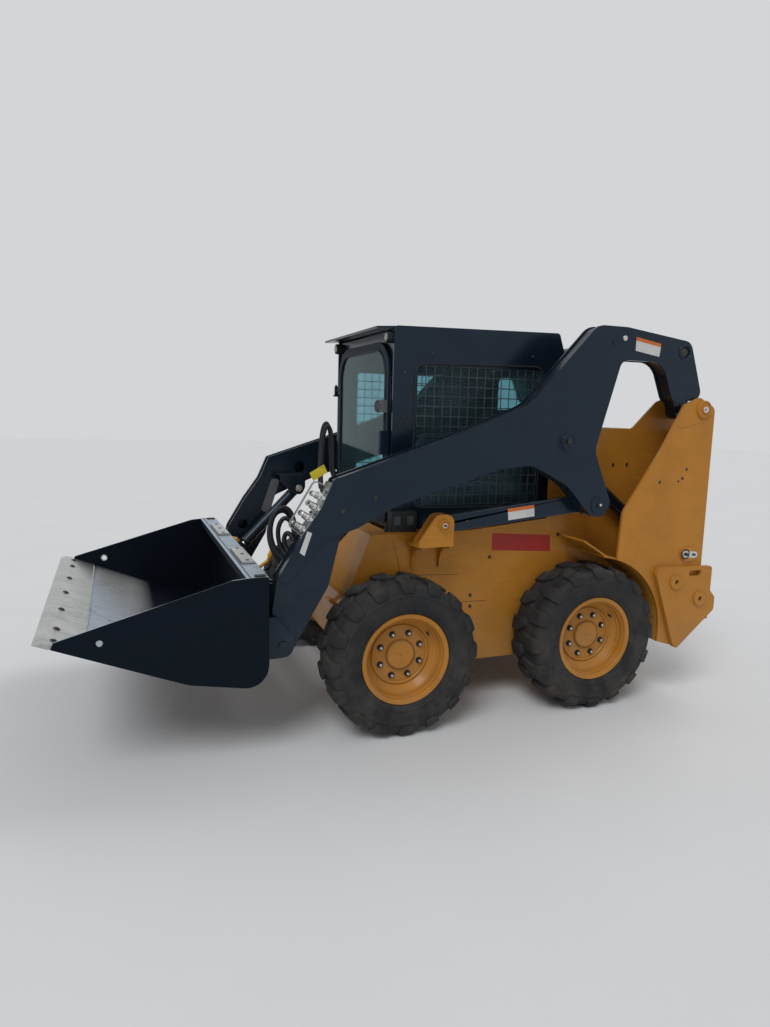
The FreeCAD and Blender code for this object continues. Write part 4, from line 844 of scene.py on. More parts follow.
class LOADER_OT_fit_bucket(bpy.types.Operator):
    """Fits the cutting edge's bolts, weld seams, rims round the eyes, ledge seals and lever grips"""

    bl_idname = "loader.fit_bucket"
    bl_label = "Fit Bucket"

    def execute(self, context):
        bm = bmesh.new()
        off_edge = Vector((-math.sin(EDGE_SLOPE), 0, math.cos(EDGE_SLOPE)))
        for y in EDGE_BOLT_YS:
            foot = at(EDGE_BOLT_X, y, EDGE_BOLT_Z)
            add_round(bm, foot, off_edge, 0.0165, 0.0045, 28, 0.0135)
            add_round(bm, foot + off_edge * 0.0045, off_edge, 0.0085, 0.0035, 6)
        for _, side in SIDES:
            for hole, y, way in BUCKET_EYE_RINGS:
                x, z = BUCKET_EYE_HOLES[hole]
                add_ring(bm, at(x, side * y, z), LEFT * side * way, 0.0165, 0.0065, 32, finish="worn steel")
            for ends in SIDE_SEAMS_INSIDE:
                add_weld(bm, side_corners(ends, side * SIDE_SEAM_Y), 0.0042, "bucket paint")
            add_weld(bm, side_corners(SIDE_SEAM_BEHIND, side * SIDE_SEAM_BEHIND_Y), 0.0025, "bucket paint")
            for low_x, high_x, near, far, low, high, finish in LEDGE_STRIPS:
                near, far = sorted((side * near, side * far))
                add_box(bm, at(low_x, near, low), at(high_x, far, high), finish=finish)
            for y in (0.235, 0.38, 0.525):
                add_round(bm, at(1.2425, side * y, 0.8478), UP, 0.0085, 0.003, 20, 0.007)
        x, y, z = EDGE_SEAM
        add_weld(bm, [at(x, -y, z), at(x, y, z)], 0.0038, "worn steel")
        add_box(bm, at(1.2785, -0.828, 0.8352), at(1.2845, 0.828, 0.8366))
        for foot, elbow, top in LEVER_LINES:
            add_bar(bm, foot, elbow, LEVER_RADIUS, finish="lever paint")
            add_bar(bm, elbow, top, LEVER_RADIUS, finish="lever paint")
            add_bar(bm, elbow.lerp(top, 0.3), top.lerp(elbow, 0.04), GRIP_RADIUS, 24, finish="lever paint")
        finish_piece(bm, "bucket_fittings", "bucket")
        return {"FINISHED"}


ARM_FACE_Y = 0.760
ARM_INNER_FACE_Y = 0.668
ARM_PAD = [(0.876, 1.108, 0.016), (0.824, 1.100, 0.016), (0.890, 0.884, 0.016), (0.946, 0.904, 0.016)]
ARM_PLATES = [  # finish, corners in side view
    ("white plate", ((-0.697, 1.937), (-0.858, 1.912), (-0.852, 1.863), (-0.697, 1.886))),
    ("orange plate", ((-0.697, 1.955), (-0.858, 1.930), (-0.858, 1.912), (-0.697, 1.937))),
    ("white plate", ((1.020, 1.014), (0.998, 1.005), (1.032, 0.903), (1.054, 0.919))),
]
REAR_PIN, LIFT_PIN, CONTROL_PIN = (-1.021, 1.896), (-0.318, 1.421), (-0.536, 1.095)  # x, z in the arms
TILT_PIN = (0.731, 0.5372, 1.0565)  # x, y of its inner head's foot, z
KEEPER_HEIGHTS = (1.119, 1.135)  # of the keeper's ends over the control link's pin
ARM_BOLTS = [(0.705, 1.157), (0.86, 1.1)]  # x, z
TUBE_CLAMPS = [(-0.30, 1.655), (0.02, 1.50), (0.42, 1.345)]  # x, z
ARM_SEAMS = [  # x, z along the welds of the nose
    ((0.784, 1.023), (0.925, 0.977)), ((0.945, 0.964), (1.003, 0.906), (1.104, 0.789)),
]


class LOADER_OT_fit_arms(bpy.types.Operator):
    """Fits pin heads, keepers, blank plates, tube clamps and weld seams to the lift arms"""

    bl_idname = "loader.fit_arms"
    bl_label = "Fit Arms"

    def execute(self, context):
        bm = bmesh.new()
        paint = "frame paint"
        add_ring(bm, over(ARM_FACE_Y, REAR_PIN, 0.0005), LEFT, 0.0385, 0.009, 56, finish=paint)
        add_round(bm, over(ARM_FACE_Y, REAR_PIN, -0.012), LEFT, 0.024, 0.008, 40, 0.0225)
        add_round(bm, over(ARM_FACE_Y, LIFT_PIN), LEFT, 0.0565, 0.004, 56, 0.0545, paint)
        add_ring(bm, over(ARM_FACE_Y, LIFT_PIN, 0.0085), LEFT, 0.036, 0.006, 48, finish=paint)
        add_bolt(bm, over(ARM_FACE_Y, LIFT_PIN, 0.008), LEFT, 0.024)
        add_round(bm, over(ARM_FACE_Y, CONTROL_PIN, 0.0038), LEFT, 0.021, 0.005, 40, 0.0195, paint)
        add_bolt(bm, over(ARM_FACE_Y, CONTROL_PIN, 0.008), LEFT, 0.014, "plated steel", washer=False)
        low, high = (over(ARM_FACE_Y, (CONTROL_PIN[0], z), 0.0035) for z in KEEPER_HEIGHTS)
        add_stadium(bm, low, high, LEFT, 0.009, 0.003, paint)
        add_round(bm, over(ARM_FACE_Y, (-0.624, 1.944), -0.001), LEFT, 0.0145, 0.007, 32, 0.013,
                  "plated steel")
        add_round(bm, over(ARM_FACE_Y, (-0.568, 1.925), -0.001), LEFT, 0.018, 0.005, 32, 0.016, paint)
        pin = at(*TILT_PIN)
        add_round(bm, pin, -LEFT, 0.0225, 0.005, 36, 0.0205, "plated steel")
        add_bolt(bm, pin - LEFT * 0.005, -LEFT, 0.014, "plated steel", washer=False)
        for spot in ARM_BOLTS:
            add_bolt(bm, over(ARM_FACE_Y, spot), LEFT, 0.015)
        for x, z in TUBE_CLAMPS:
            add_box(bm, at(x - 0.012, 0.690, z - 0.004), at(x + 0.012, 0.738, z + 0.012),
                    Matrix.Rotation(math.radians(20), 4, "Y"))
        for spots in ARM_SEAMS:
            add_weld(bm, side_corners(spots, ARM_FACE_Y - 0.0095), 0.003, paint)
        mirrored_copy(bm)
        for finish, corners in ARM_PLATES:
            add_sheet(bm, side_corners(corners, ARM_FACE_Y - 0.0002), LEFT, 0.0008, finish)
        pad = rounded(ARM_PAD, lambda x, z: at(x, -ARM_INNER_FACE_Y - 0.0002, z))
        add_sheet(bm, pad, LEFT, 0.0010, "grey pad")
        finish_piece(bm, "arm_fittings", "boom", bevel=0.0004)
        return {"FINISHED"}


LINK_FACE_Y, REAR_LINK_FACE_Y = 0.663, 0.635
LINK_PLATE_PLACE = (-0.132, 1.0515)  # x, z of its middle
LINK_PLATE_SLOPE = math.atan2(0.092, -0.848)
LINK_PLATE_HALF = 0.078
LINK_PLATE_BANDS = [("white plate", -0.030, 0.012), ("orange plate", 0.012, 0.030)]  # finish, heights


class LOADER_OT_fit_links(bpy.types.Operator):
    """Fits pin heads and a blank plate to the control links and the rear links"""

    bl_idname = "loader.fit_links"
    bl_label = "Fit Links"

    def execute(self, context):
        bm = bmesh.new()
        add_ring(bm, at(0.312, LINK_FACE_Y + 0.0005, 1.003), LEFT, 0.031, 0.006, 40, finish="frame paint")
        for x, z in ((0.18, 1.0175), (-0.38, 1.078)):
            add_round(bm, at(x, LINK_FACE_Y - 0.001, z), LEFT, 0.007, 0.004, 20, 0.006)
        mirrored_copy(bm)
        run = Vector((math.cos(LINK_PLATE_SLOPE), 0, math.sin(LINK_PLATE_SLOPE)))
        rise = LEFT.cross(run)
        middle = at(LINK_PLATE_PLACE[0], LINK_FACE_Y - 0.0002, LINK_PLATE_PLACE[1])
        for finish, low, high in LINK_PLATE_BANDS:
            corners = [middle + run * along + rise * up for along, up in (
                (LINK_PLATE_HALF, low), (-LINK_PLATE_HALF, low), (-LINK_PLATE_HALF, high),
                (LINK_PLATE_HALF, high))]
            add_sheet(bm, corners, LEFT, 0.0009, finish)
        finish_piece(bm, "control_link_fittings", "control_links", bevel=0.0004)
        bm = bmesh.new()
        for x, z in ((-1.157, 1.599), (-1.021, 1.896)):
            add_ring(bm, at(x, REAR_LINK_FACE_Y + 0.0005, z), LEFT, 0.033, 0.007, 40, finish="frame paint")
        mirrored_copy(bm)
        finish_piece(bm, "rear_link_fittings", "rear_links", bevel=0.0004)
        return {"FINISHED"}


TOWER_FACE_Y, SIDE_FACE_Y, BRACKET_FACE_Y = 0.787, 0.540, 0.692
WEIGHT_HOLE_Y, WEIGHT_FACE_Y, AXLE_FLANGE_Y = 0.806, 0.827, 0.554
# The tower's holes and slots are not cut: thin dark discs and stadiums on the plates stand in for them, painted
# shade of their insides.
TOWER_HOLE_SHADES = [  # x, z, radius of the small holes in a tower's plate
    (-1.075, 1.279, 0.009), (-1.052, 1.230, 0.009), (-1.025, 1.214, 0.007), (-0.899, 1.210, 0.009),
    (-0.924, 0.470, 0.009), (-1.262, 0.485, 0.008), (-1.300, 0.485, 0.008),
]
TOWER_SLOT_SHADE_XS, TOWER_SLOT_ENDS = (-0.788, -0.883), (1.278, 1.290)
TOWER_PIN, LINK_PIN = (-1.157, 1.599), (0.312, 1.003)  # x, z
TOWER_SEAM = ((-0.984, 1.513), (-1.006, 1.498), (-1.154, 1.532))
LATCH, LATCH_SLOT, LATCH_END = (-1.109, 0.812), (-1.160, 0.808), (-1.176, 0.806)
WEIGHT_BOLTS = [(-1.040, 0.665), (-1.215, 0.560)]
SIDE_SEAMS = [  # x, z along the seams of the chassis side
    ((0.525, 0.911), (0.503, 0.840), (0.478, 0.745)),
    ((0.478, 0.731), (0.150, 0.716)),
    ((0.125, 0.566), (-0.020, 0.564)),
]
BRACKET_SEAMS = [((0.275, 0.767), (0.275, 0.893)), ((0.411, 0.767), (0.411, 0.893)),
                 ((0.222, 0.8945), (0.452, 0.8945))]
SIDE_BOLTS = [(0.076, 0.601), (0.074, 0.540), (-0.03, 0.80), (-0.45, 0.905)]
RED_PLATE = ((-0.040, 0.9275), (-0.400, 0.903), (-0.407, 0.8125), (-0.0415, 0.835))
AXLE_XS, AXLE_Z, AXLE_BOLT_REACH = (0.541, -0.541), 0.385, 0.066
LAMP_BOX = (0.392, 0.468, 0.9497), (0.528, 0.528, 1.052)
LAMP_XS, LAMP_WIDTH = (0.412, 0.482), 0.034
BUMPER_BOLT_YS, STEP_YS, STEP_HALF = (-0.66, -0.22, 0.22, 0.66), (-0.36, 0.36), 0.045


class LOADER_OT_fit_chassis(bpy.types.Operator):
    """Fits bolts, seams, latches, a blank plate, lamps and steps to the chassis, towers and weights"""

    bl_idname = "loader.fit_chassis"
    bl_label = "Fit Chassis"

    def fit_tower(self, bm):
        for x, z, radius in TOWER_HOLE_SHADES:
            add_round(bm, at(x, TOWER_FACE_Y - 0.0006, z), LEFT, radius, 0.0012)
        for x in TOWER_SLOT_SHADE_XS:
            low, high = (over(SIDE_FACE_Y, (x, z), -0.0004) for z in TOWER_SLOT_ENDS)
            add_stadium(bm, low, high, LEFT, 0.007, 0.001)
        add_round(bm, over(TOWER_FACE_Y, LATCH, 0.0095), LEFT, 0.029, 0.003, 40)
        add_stadium(bm, over(TOWER_FACE_Y, LATCH, 0.0095), over(TOWER_FACE_Y, LATCH_END, 0.0095), LEFT, 0.018,
                    0.003, "plated steel")
        add_round(bm, over(TOWER_FACE_Y, LATCH, 0.0125), LEFT, 0.021, 0.004, 36, 0.019, "plated steel")
        add_bolt(bm, over(TOWER_FACE_Y, LATCH, 0.0165), LEFT, 0.018, washer=False)
        # Dark stadium on the latch plate: painted shade of its slot.
        add_stadium(bm, over(TOWER_FACE_Y, LATCH_SLOT, 0.0125), over(TOWER_FACE_Y, LATCH_END, 0.0125), LEFT,
                    0.006, 0.0008)
        add_ring(bm, over(TOWER_FACE_Y, TOWER_PIN, 0.0105), LEFT, 0.0405, 0.006, 56, finish="body paint")
        add_round(bm, over(TOWER_FACE_Y, TOWER_PIN, 0.0175), LEFT, 0.0175, 0.0025, 36, 0.016, "plated steel")
        add_bolt(bm, over(TOWER_FACE_Y, TOWER_PIN, 0.0198), LEFT, 0.014, "plated steel", washer=False)
        add_weld(bm, side_corners(TOWER_SEAM, TOWER_FACE_Y), 0.0028, "body paint")
        for spot in WEIGHT_BOLTS:
            add_bolt(bm, over(WEIGHT_HOLE_Y, spot), LEFT, 0.019, washer=False)
            add_ring(bm, over(WEIGHT_FACE_Y, spot, 0.0002), LEFT, 0.0395, 0.003, 48, finish="body paint")
        for z in (0.65, 1.05, 1.38):
            add_bolt(bm, at(-1.2408, 0.62, z), -FORWARD, 0.014)

    def fit_side(self, bm):
        for spot in SIDE_BOLTS:
            add_bolt(bm, over(SIDE_FACE_Y, spot), LEFT, 0.012)
        for spots in SIDE_SEAMS:
            for start, end in zip(spots, spots[1:]):
                add_bar(bm, over(SIDE_FACE_Y, start, -0.0004), over(SIDE_FACE_Y, end, -0.0004), 0.0014, 8)
        for ends in BRACKET_SEAMS:
            add_weld(bm, side_corners(ends, SIDE_FACE_Y + 0.001), 0.003, "body paint")
        add_ring(bm, over(BRACKET_FACE_Y, LINK_PIN, 0.0045), LEFT, 0.027, 0.006, 40, finish="body paint")
        add_round(bm, over(BRACKET_FACE_Y, LINK_PIN, -0.0015), LEFT, 0.0125, 0.0025, 32, 0.0115,
                  "plated steel")
        add_bolt(bm, over(BRACKET_FACE_Y, LINK_PIN, 0.0005), LEFT, 0.012, washer=False)
        for x in AXLE_XS:
            for across in (AXLE_BOLT_REACH, -AXLE_BOLT_REACH):
                for up in (AXLE_BOLT_REACH, -AXLE_BOLT_REACH):
                    add_bolt(bm, at(x + across, AXLE_FLANGE_Y, AXLE_Z + up), LEFT, 0.02)
        low, high = LAMP_BOX
        add_box(bm, at(*low), at(*high), finish="black plastic")
        for x in LAMP_XS:
            add_box(bm, at(x, 0.5265, 0.985), at(x + LAMP_WIDTH, 0.533, 1.030), finish="smoked lens")
            add_ring(bm, at(x + LAMP_WIDTH / 2, 0.531, 1.0075), LEFT, 0.013, 0.003, 24, 6, "plated steel")
        add_bar(bm, at(0.545, 0.50, 0.9497), at(0.545, 0.50, 1.0), 0.009, 16, "black plastic")

    def execute(self, context):
        bm = bmesh.new()
        self.fit_tower(bm)
        self.fit_side(bm)
        mirrored_copy(bm)
        add_sheet(bm, side_corners(RED_PLATE, SIDE_FACE_Y - 0.0002), LEFT, 0.0009, "red plate")
        for y in BUMPER_BOLT_YS:
            add_bolt(bm, at(-1.3165, y, 0.485), -FORWARD, 0.024)
        for y in STEP_YS:
            near, far = y - STEP_HALF, y + STEP_HALF
            corners = [at(0.7625, near, 0.56), at(0.7985, near, 0.585), at(0.7985, far, 0.585),
                       at(0.7625, far, 0.56)]
            for start, end in zip(corners, corners[1:]):
                add_bar(bm, start, end, 0.009, 16, "body paint")
        finish_piece(bm, "chassis_fittings", "chassis", bevel=0.0005)
        return {"FINISHED"}


CORNER_STEPS = 8


def rounded(rows, lay):
    """Points of a closed outline from rows of first, second and corner radius."""
    corners = [Vector(row[:2]) for row in rows]
    points = []
    for index, (first, second, radius) in enumerate(rows):
        corner = corners[index]
        back = (corners[index - 1] - corner).normalized()
        ahead = (corners[(index + 1) % len(rows)] - corner).normalized()
        half = back.angle(ahead) / 2
        bisector = (back + ahead).normalized()
        centre = corner + bisector * (radius / math.sin(half))
        start = corner + back * (radius / math.tan(half)) - centre
        sweep = start.angle_signed(corner + ahead * (radius / math.tan(half)) - centre)
        for step in range(CORNER_STEPS + 1):
            turn = Matrix.Rotation(-sweep * step / CORNER_STEPS, 2)
            points.append(lay(*(centre + turn @ start)))
    return points


def add_lines(name, body, lines, diameter, finish, closed=False):
    """Round hoses, bars or seals along a few points each, as one piece."""
    curve = bpy.data.curves.new(name, "CURVE")
    curve.dimensions = "3D"
    curve.bevel_depth = diameter / 2
    curve.bevel_resolution = 3
    curve.resolution_u = 8
    curve.use_fill_caps = True
    for points in lines:
        spline = curve.splines.new("POLY" if closed else "NURBS")
        spline.points.add(len(points) - 1)
        for knot, point in zip(spline.points, points):
            knot.co = (*point, 1)
        spline.use_cyclic_u = closed
        if not closed:
            spline.order_u = 3
            spline.use_endpoint_u = True
    curve.materials.append(FINISHES[finish])
    piece = bpy.data.objects.new(name, curve)
    bpy.context.scene.collection.objects.link(piece)
    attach(piece, body)
    return piece


SIDE_WINDOW = [(0.395, 1.060, 0.05), (0.395, 1.786, 0.05), (-0.352, 1.802, 0.05), (-0.352, 1.060, 0.05)]
DOOR_GLASS = [(-0.372, 1.012, 0.04), (0.372, 1.012, 0.04), (0.372, 1.858, 0.14), (-0.372, 1.858, 0.14)]
REAR_WINDOW = [(-0.330, 1.480, 0.04), (0.330, 1.480, 0.04), (0.330, 1.780, 0.04), (-0.330, 1.780, 0.04)]


WINDOW_SEAL_YS, REAR_SEAL_X, DOOR_SEAL_X, SEAL_DIAMETER = (0.4612, -0.4612), -0.5378, 0.5208, 0.010
DOOR_STOPS = [(1.572, 0.033, 0.029), (1.20, 0.02, 0.018)]  # z, radius, radius at the top
DOOR_HINGE_HEIGHTS, DOOR_HINGE_HALF = (1.145, 1.665), 0.024
LIGHT_Y, LIGHT_Z = 0.418, 1.910
CAB_BOLTS = [  # x, z, width of the head
    (0.452, 1.09, 0.010), (0.452, 1.30, 0.010), (0.452, 1.52, 0.010), (0.452, 1.74, 0.010),
    (0.305, 1.836, 0.012), (-0.280, 1.852, 0.012),
]
BOOT_FOOT = (0.1815, 0.3505, 1.180)
BOOT_FOLD = Vector((0.0012, 0, 0.010))  # from one fold to the next
BOOT_RADII = (0.046, 0.040, 0.034, 0.028, 0.023)


class LOADER_OT_fit_cab(bpy.types.Operator):
    """Fits window seals, the door's latch and hinges, lights, bolts and the controls' boots and buttons"""

    bl_idname = "loader.fit_cab"
    bl_label = "Fit Cab"

    def fit_door(self, bm):
        plastic = "black plastic"
        for z, radius, top in DOOR_STOPS:
            add_round(bm, at(0.5155, 0.270, z), FORWARD, radius, 0.013, 32, top, plastic)
        add_box(bm, at(0.521, 0.268, 1.562), at(0.530, 0.375, 1.584), finish=plastic)
        add_box(bm, at(0.519, 0.352, 1.540), at(0.546, 0.408, 1.604), finish="grey pad")
        add_ring(bm, at(0.5465, 0.380, 1.572), FORWARD, 0.013, 0.004, 24, finish=plastic)
        add_bar(bm, at(0.541, 0.380, 1.338), at(0.541, 0.380, 1.442), 0.008, 16, plastic)
        for z in DOOR_HINGE_HEIGHTS:
            add_box(bm, at(0.5195, -0.436, z - DOOR_HINGE_HALF), at(0.5265, -0.376, z + DOOR_HINGE_HALF),
                    finish="frame paint")
            for y in (-0.40, -0.385):
                add_bolt(bm, at(0.526, y, z), FORWARD, 0.010, washer=False)

    def fit_shell(self, bm):
        plastic = "black plastic"
        add_ring(bm, at(0.5405, LIGHT_Y, LIGHT_Z), FORWARD, 0.0235, 0.004, 40, 8, plastic)
        add_round(bm, at(0.5395, LIGHT_Y, LIGHT_Z), FORWARD, 0.0215, 0.003, 40, 0.0195, "lamp lens")
        for x, z, across in CAB_BOLTS:
            add_bolt(bm, at(x, 0.460, z), LEFT, across)
        for fold, radius in enumerate(BOOT_RADII):
            middle = at(*BOOT_FOOT) + BOOT_FOLD * fold
            add_ring(bm, middle, UP, radius, 0.013, 32, 8, plastic)
            add_round(bm, middle - UP * 0.006, UP, radius, 0.012, 32, finish=plastic)
        for z in (1.350, 1.362):
            add_round(bm, at(0.2215, 0.338, z), FORWARD, 0.006, 0.012, 12, finish="orange plate")
        add_box(bm, at(-0.10, 0.34, 1.1795), at(0.10, 0.42, 1.1865), finish="grey pad")
        for x in (-0.06, 0.0, 0.06):
            add_round(bm, at(x, 0.38, 1.1855), UP, 0.012, 0.008, 20, 0.010, plastic)

    def execute(self, context):
        window_seals = [rounded(SIDE_WINDOW, lambda x, z, y=y: at(x, y, z)) for y in WINDOW_SEAL_YS]
        window_seals.append(rounded(REAR_WINDOW, lambda y, z: at(REAR_SEAL_X, y, z)))
        door_seal = rounded(DOOR_GLASS, lambda y, z: at(DOOR_SEAL_X, y, z))
        add_lines("window_seals", "chassis", window_seals, SEAL_DIAMETER, "black plastic",
                  closed=True)
        add_lines("door_seal", "cab_door", [door_seal], SEAL_DIAMETER, "black plastic",
                  closed=True)
        bm = bmesh.new()
        self.fit_door(bm)
        finish_piece(bm, "door_fittings", "cab_door")
        bm = bmesh.new()
        self.fit_shell(bm)
        mirrored_copy(bm)
        finish_piece(bm, "cab_fittings", "chassis")
        return {"FINISHED"}


class LoaderSeatSettings(bpy.types.PropertyGroup):
    """Padding of the seat."""

    pressure: bpy.props.FloatProperty(
        name="Pressure", description="Pressure inside the cushions while they are puffed up", default=4.0, min=0)
    swell: bpy.props.FloatProperty(
        name="Swell", description="Furthest that a point of a cushion moves out", default=0.013, min=0,
        unit="LENGTH")
    channel_depth: bpy.props.FloatProperty(
        name="Channel depth", description="Depth of the sewn channels", default=0.009, min=0, unit="LENGTH")


SEAT_FLOOR_Z = 1.0105
SEAT_CUSHIONS = [  # name, side outline, half width, sewn lines across, sewn lines along, face direction
    ("seat_base_cushion", [(-0.316, 1.024), (0.138, 1.024), (0.156, 1.105), (0.060, 1.100), (-0.316, 1.086)],
     0.236, ("x", (-0.20, -0.08, 0.04)), 0.145, (0, 0, 1)),
    ("seat_back_cushion", [(-0.352, 1.124), (-0.378, 1.588), (-0.437, 1.588), (-0.418, 1.024), (-0.346, 1.024)],
     0.226, ("z", (1.20, 1.32, 1.44)), 0.140, (1, 0, 0)),
]


VOXEL_SIZE = 0.0075
PUFF_STEPS = 20
CUSHION_ROUNDING = 0.016
CHANNEL_HALF = 0.008  # distance over which a sewn channel fades out
TOP_FACING = 0.6  # a point belongs to the cushion's face when its normal leans no further than this


def current_mesh(piece):
    """The piece's shape with its modifiers worked out."""
    return bpy.data.meshes.new_from_object(piece.evaluated_get(bpy.context.evaluated_depsgraph_get()))


def puff_up(cushion, settings):
    """Remeshes a cushion and fills it with air for a few steps, then keeps each point within its cap."""
    voxels = cushion.modifiers.new("Even mesh", "REMESH")
    voxels.mode = "VOXEL"
    voxels.voxel_size = VOXEL_SIZE
    shaped = current_mesh(cushion)
    cushion.modifiers.clear()
    cushion.data = shaped
    start = [vertex.co.copy() for vertex in shaped.vertices]
    cloth = cushion.modifiers.new("Padding", "CLOTH")
    cloth.settings.use_pressure = True
    cloth.settings.uniform_pressure_force = settings.pressure
    cloth.settings.effector_weights.gravity = 0
    cloth.settings.quality = 5
    scene = bpy.context.scene
    for step in range(1, PUFF_STEPS + 1):
        scene.frame_set(step)
    puffed = current_mesh(cushion)
    cushion.modifiers.clear()
    cushion.data = puffed
    scene.frame_set(1)
    for vertex, old in zip(puffed.vertices, start):
        move = vertex.co - old
        if move.length > settings.swell:
            vertex.co = old + move.normalized() * settings.swell


class LOADER_OT_pad_seat(bpy.types.Operator):
    """Puffs up the seat's cushions and sews their channels"""

    bl_idname = "loader.pad_seat"
    bl_label = "Pad Seat"

    def execute(self, context):
        settings = context.scene.loader_seat
        for name, rows, half, (axis, sewn), along, facing in SEAT_CUSHIONS:
            bm = bmesh.new()
            add_sheet(bm, side_corners(rows, -half), LEFT, 2 * half, "seat vinyl")
            bmesh.ops.recalc_face_normals(bm, faces=bm.faces[:])
            bmesh.ops.bevel(bm, geom=bm.edges[:], offset=CUSHION_ROUNDING, affect="EDGES", segments=3,
                            profile=0.5, material=-1)
            cushion = finish_piece(bm, name, "chassis", bevel=0)
            puff_up(cushion, settings)
            face = Vector(facing)
            for vertex in cushion.data.vertices:
                spot = vertex.co
                lines = [abs((spot.x - AXLES_MIDDLE_X if axis == "x" else spot.z) - place) for place in sewn]
                off_line = min(lines) if abs(spot.y) < along else 1.0
                off_edge = abs(abs(spot.y) - along)
                sunk = math.exp(-(min(off_line, off_edge) / CHANNEL_HALF) ** 2)
                if vertex.normal.dot(face) > TOP_FACING:
                    vertex.co = spot - face * settings.channel_depth * sunk
                vertex.co.z = max(vertex.co.z, SEAT_FLOOR_Z)
            cushion.data.materials.clear()
            cushion.data.materials.append(FINISHES["seat vinyl"])
            cushion.data.shade_smooth()
            smooth = cushion.modifiers.new("Smooth skin", "SUBSURF")
            smooth.levels = 1
            smooth.render_levels = 1
        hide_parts("seat")
        return {"FINISHED"}


COUPLING_LINE = [(1.042, 0.9884), (0.954, 1.111), (0.904, 1.225)]  # x, z up the arm's front edge
COUPLING_ROWS, COUPLING_STEP = 4, 0.056
COUPLING_YS = (0.689, 0.735)


def coupling_place(distance):
    """Point on the couplings' base at a distance from its low end, and the way out."""
    points = [at(x, 0, z) for x, z in COUPLING_LINE]
    for low, high in zip(points, points[1:]):
        run = high - low
        if distance <= run.length:
            break
        distance -= run.length
    along = run.normalized()
    return low + along * distance, -along.cross(LEFT)


class LOADER_OT_fit_couplings(bpy.types.Operator):
    """Fits collars, flats, dust caps and hoses to the auxiliary couplings on the left arm"""

    bl_idname = "loader.fit_couplings"
    bl_label = "Fit Couplings"

    def execute(self, context):
        bm = bmesh.new()
        for row in range(COUPLING_ROWS):
            point, outward = coupling_place(0.030 + row * COUPLING_STEP)
            for column, y in enumerate(COUPLING_YS):
                foot = point + Vector((0, y, 0)) + outward * 0.008
                add_round(bm, foot + outward * 0.004, outward, 0.0195, 0.009, 6, finish="plated steel")
                add_round(bm, foot + outward * 0.0155, outward, 0.0168, 0.012, 32, 0.0152, "plated steel")
                for ring in (0.0325, 0.0385):
                    add_ring(bm, foot + outward * ring, outward, 0.0118, 0.0035, 28, 8, finish="plated steel")
                add_round(bm, foot + outward * 0.0445, outward, 0.0138, 0.005, 28, finish="plated steel")
                cap = ("plated steel", "dark bolt")[(row + column) % 2]
                add_round(bm, foot + outward * 0.0495, outward, 0.0095, 0.004, 24, 0.006, cap)
                if column:
                    add_round(bm, foot + outward * 0.006 + LEFT * 0.014, LEFT, 0.0085, 0.016, 6,
                              finish="plated steel")
        for distance in (0.016, 0.114, 0.226):
            point, outward = coupling_place(distance)
            for y in (0.676, 0.749):
                add_bolt(bm, point + Vector((0, y, 0)) + outward * 0.008, outward, 0.010)
        finish_piece(bm, "coupling_fittings", "boom")
        hoses = []
        for shift, rise in ((0.0, 0.0), (-0.030, -0.018)):
            hoses.append([at(x, y + shift, z + rise) for x, y, z in (
                (1.036, 0.674, 0.925), (1.038, 0.630, 0.960), (1.040, 0.605, 1.040), (1.068, 0.600, 1.100),
                (1.118, 0.600, 1.098), (1.152, 0.602, 1.030), (1.150, 0.606, 0.950), (1.120, 0.625, 0.885),
                (1.080, 0.655, 0.850), (1.070, 0.676, 0.842))])
        hoses.append([at(x, y, z) for x, y, z in (
            (1.040, 0.674, 0.968), (1.044, 0.630, 0.985), (1.058, 0.612, 1.040), (1.092, 0.606, 1.058),
            (1.120, 0.610, 1.010), (1.116, 0.618, 0.935), (1.088, 0.640, 0.880), (1.062, 0.676, 0.868))])
        hoses.append([at(x, y, z) for x, y, z in (
            (1.050, 0.676, 0.935), (1.058, 0.640, 0.972), (1.082, 0.622, 0.992), (1.096, 0.620, 0.950),
            (1.078, 0.642, 0.895), (1.056, 0.676, 0.885))])
        add_lines("coupling_hoses", "boom", hoses, 0.022, "hose rubber")
        loops = []
        for shift, rise in ((0.0, 0.0), (-0.026, 0.012)):
            loops.append([at(x, y + shift, z + rise) for x, y, z in (
                (0.930, 0.674, 1.180), (0.930, 0.645, 1.230), (0.920, 0.630, 1.340), (0.914, 0.625, 1.440),
                (0.893, 0.625, 1.484), (0.873, 0.625, 1.440), (0.870, 0.630, 1.340), (0.872, 0.645, 1.240),
                (0.850, 0.674, 1.200))])
        add_lines("loop_hoses", "boom", loops, 0.019, "hose rubber")
        bm = bmesh.new()
        add_sheet(bm, [at(0.916, 0.646, 1.300), at(0.985, 0.655, 1.262), at(0.968, 0.660, 1.226),
                       at(0.899, 0.651, 1.264)], LEFT, 0.0012, finish="reflector")
        add_ring(bm, at(0.924, 0.642, 1.292), (0.2, 0.3, 1), 0.011, 0.0016, 20, 6)
        finish_piece(bm, "hose_tag", "boom", bevel=0)
        return {"FINISHED"}


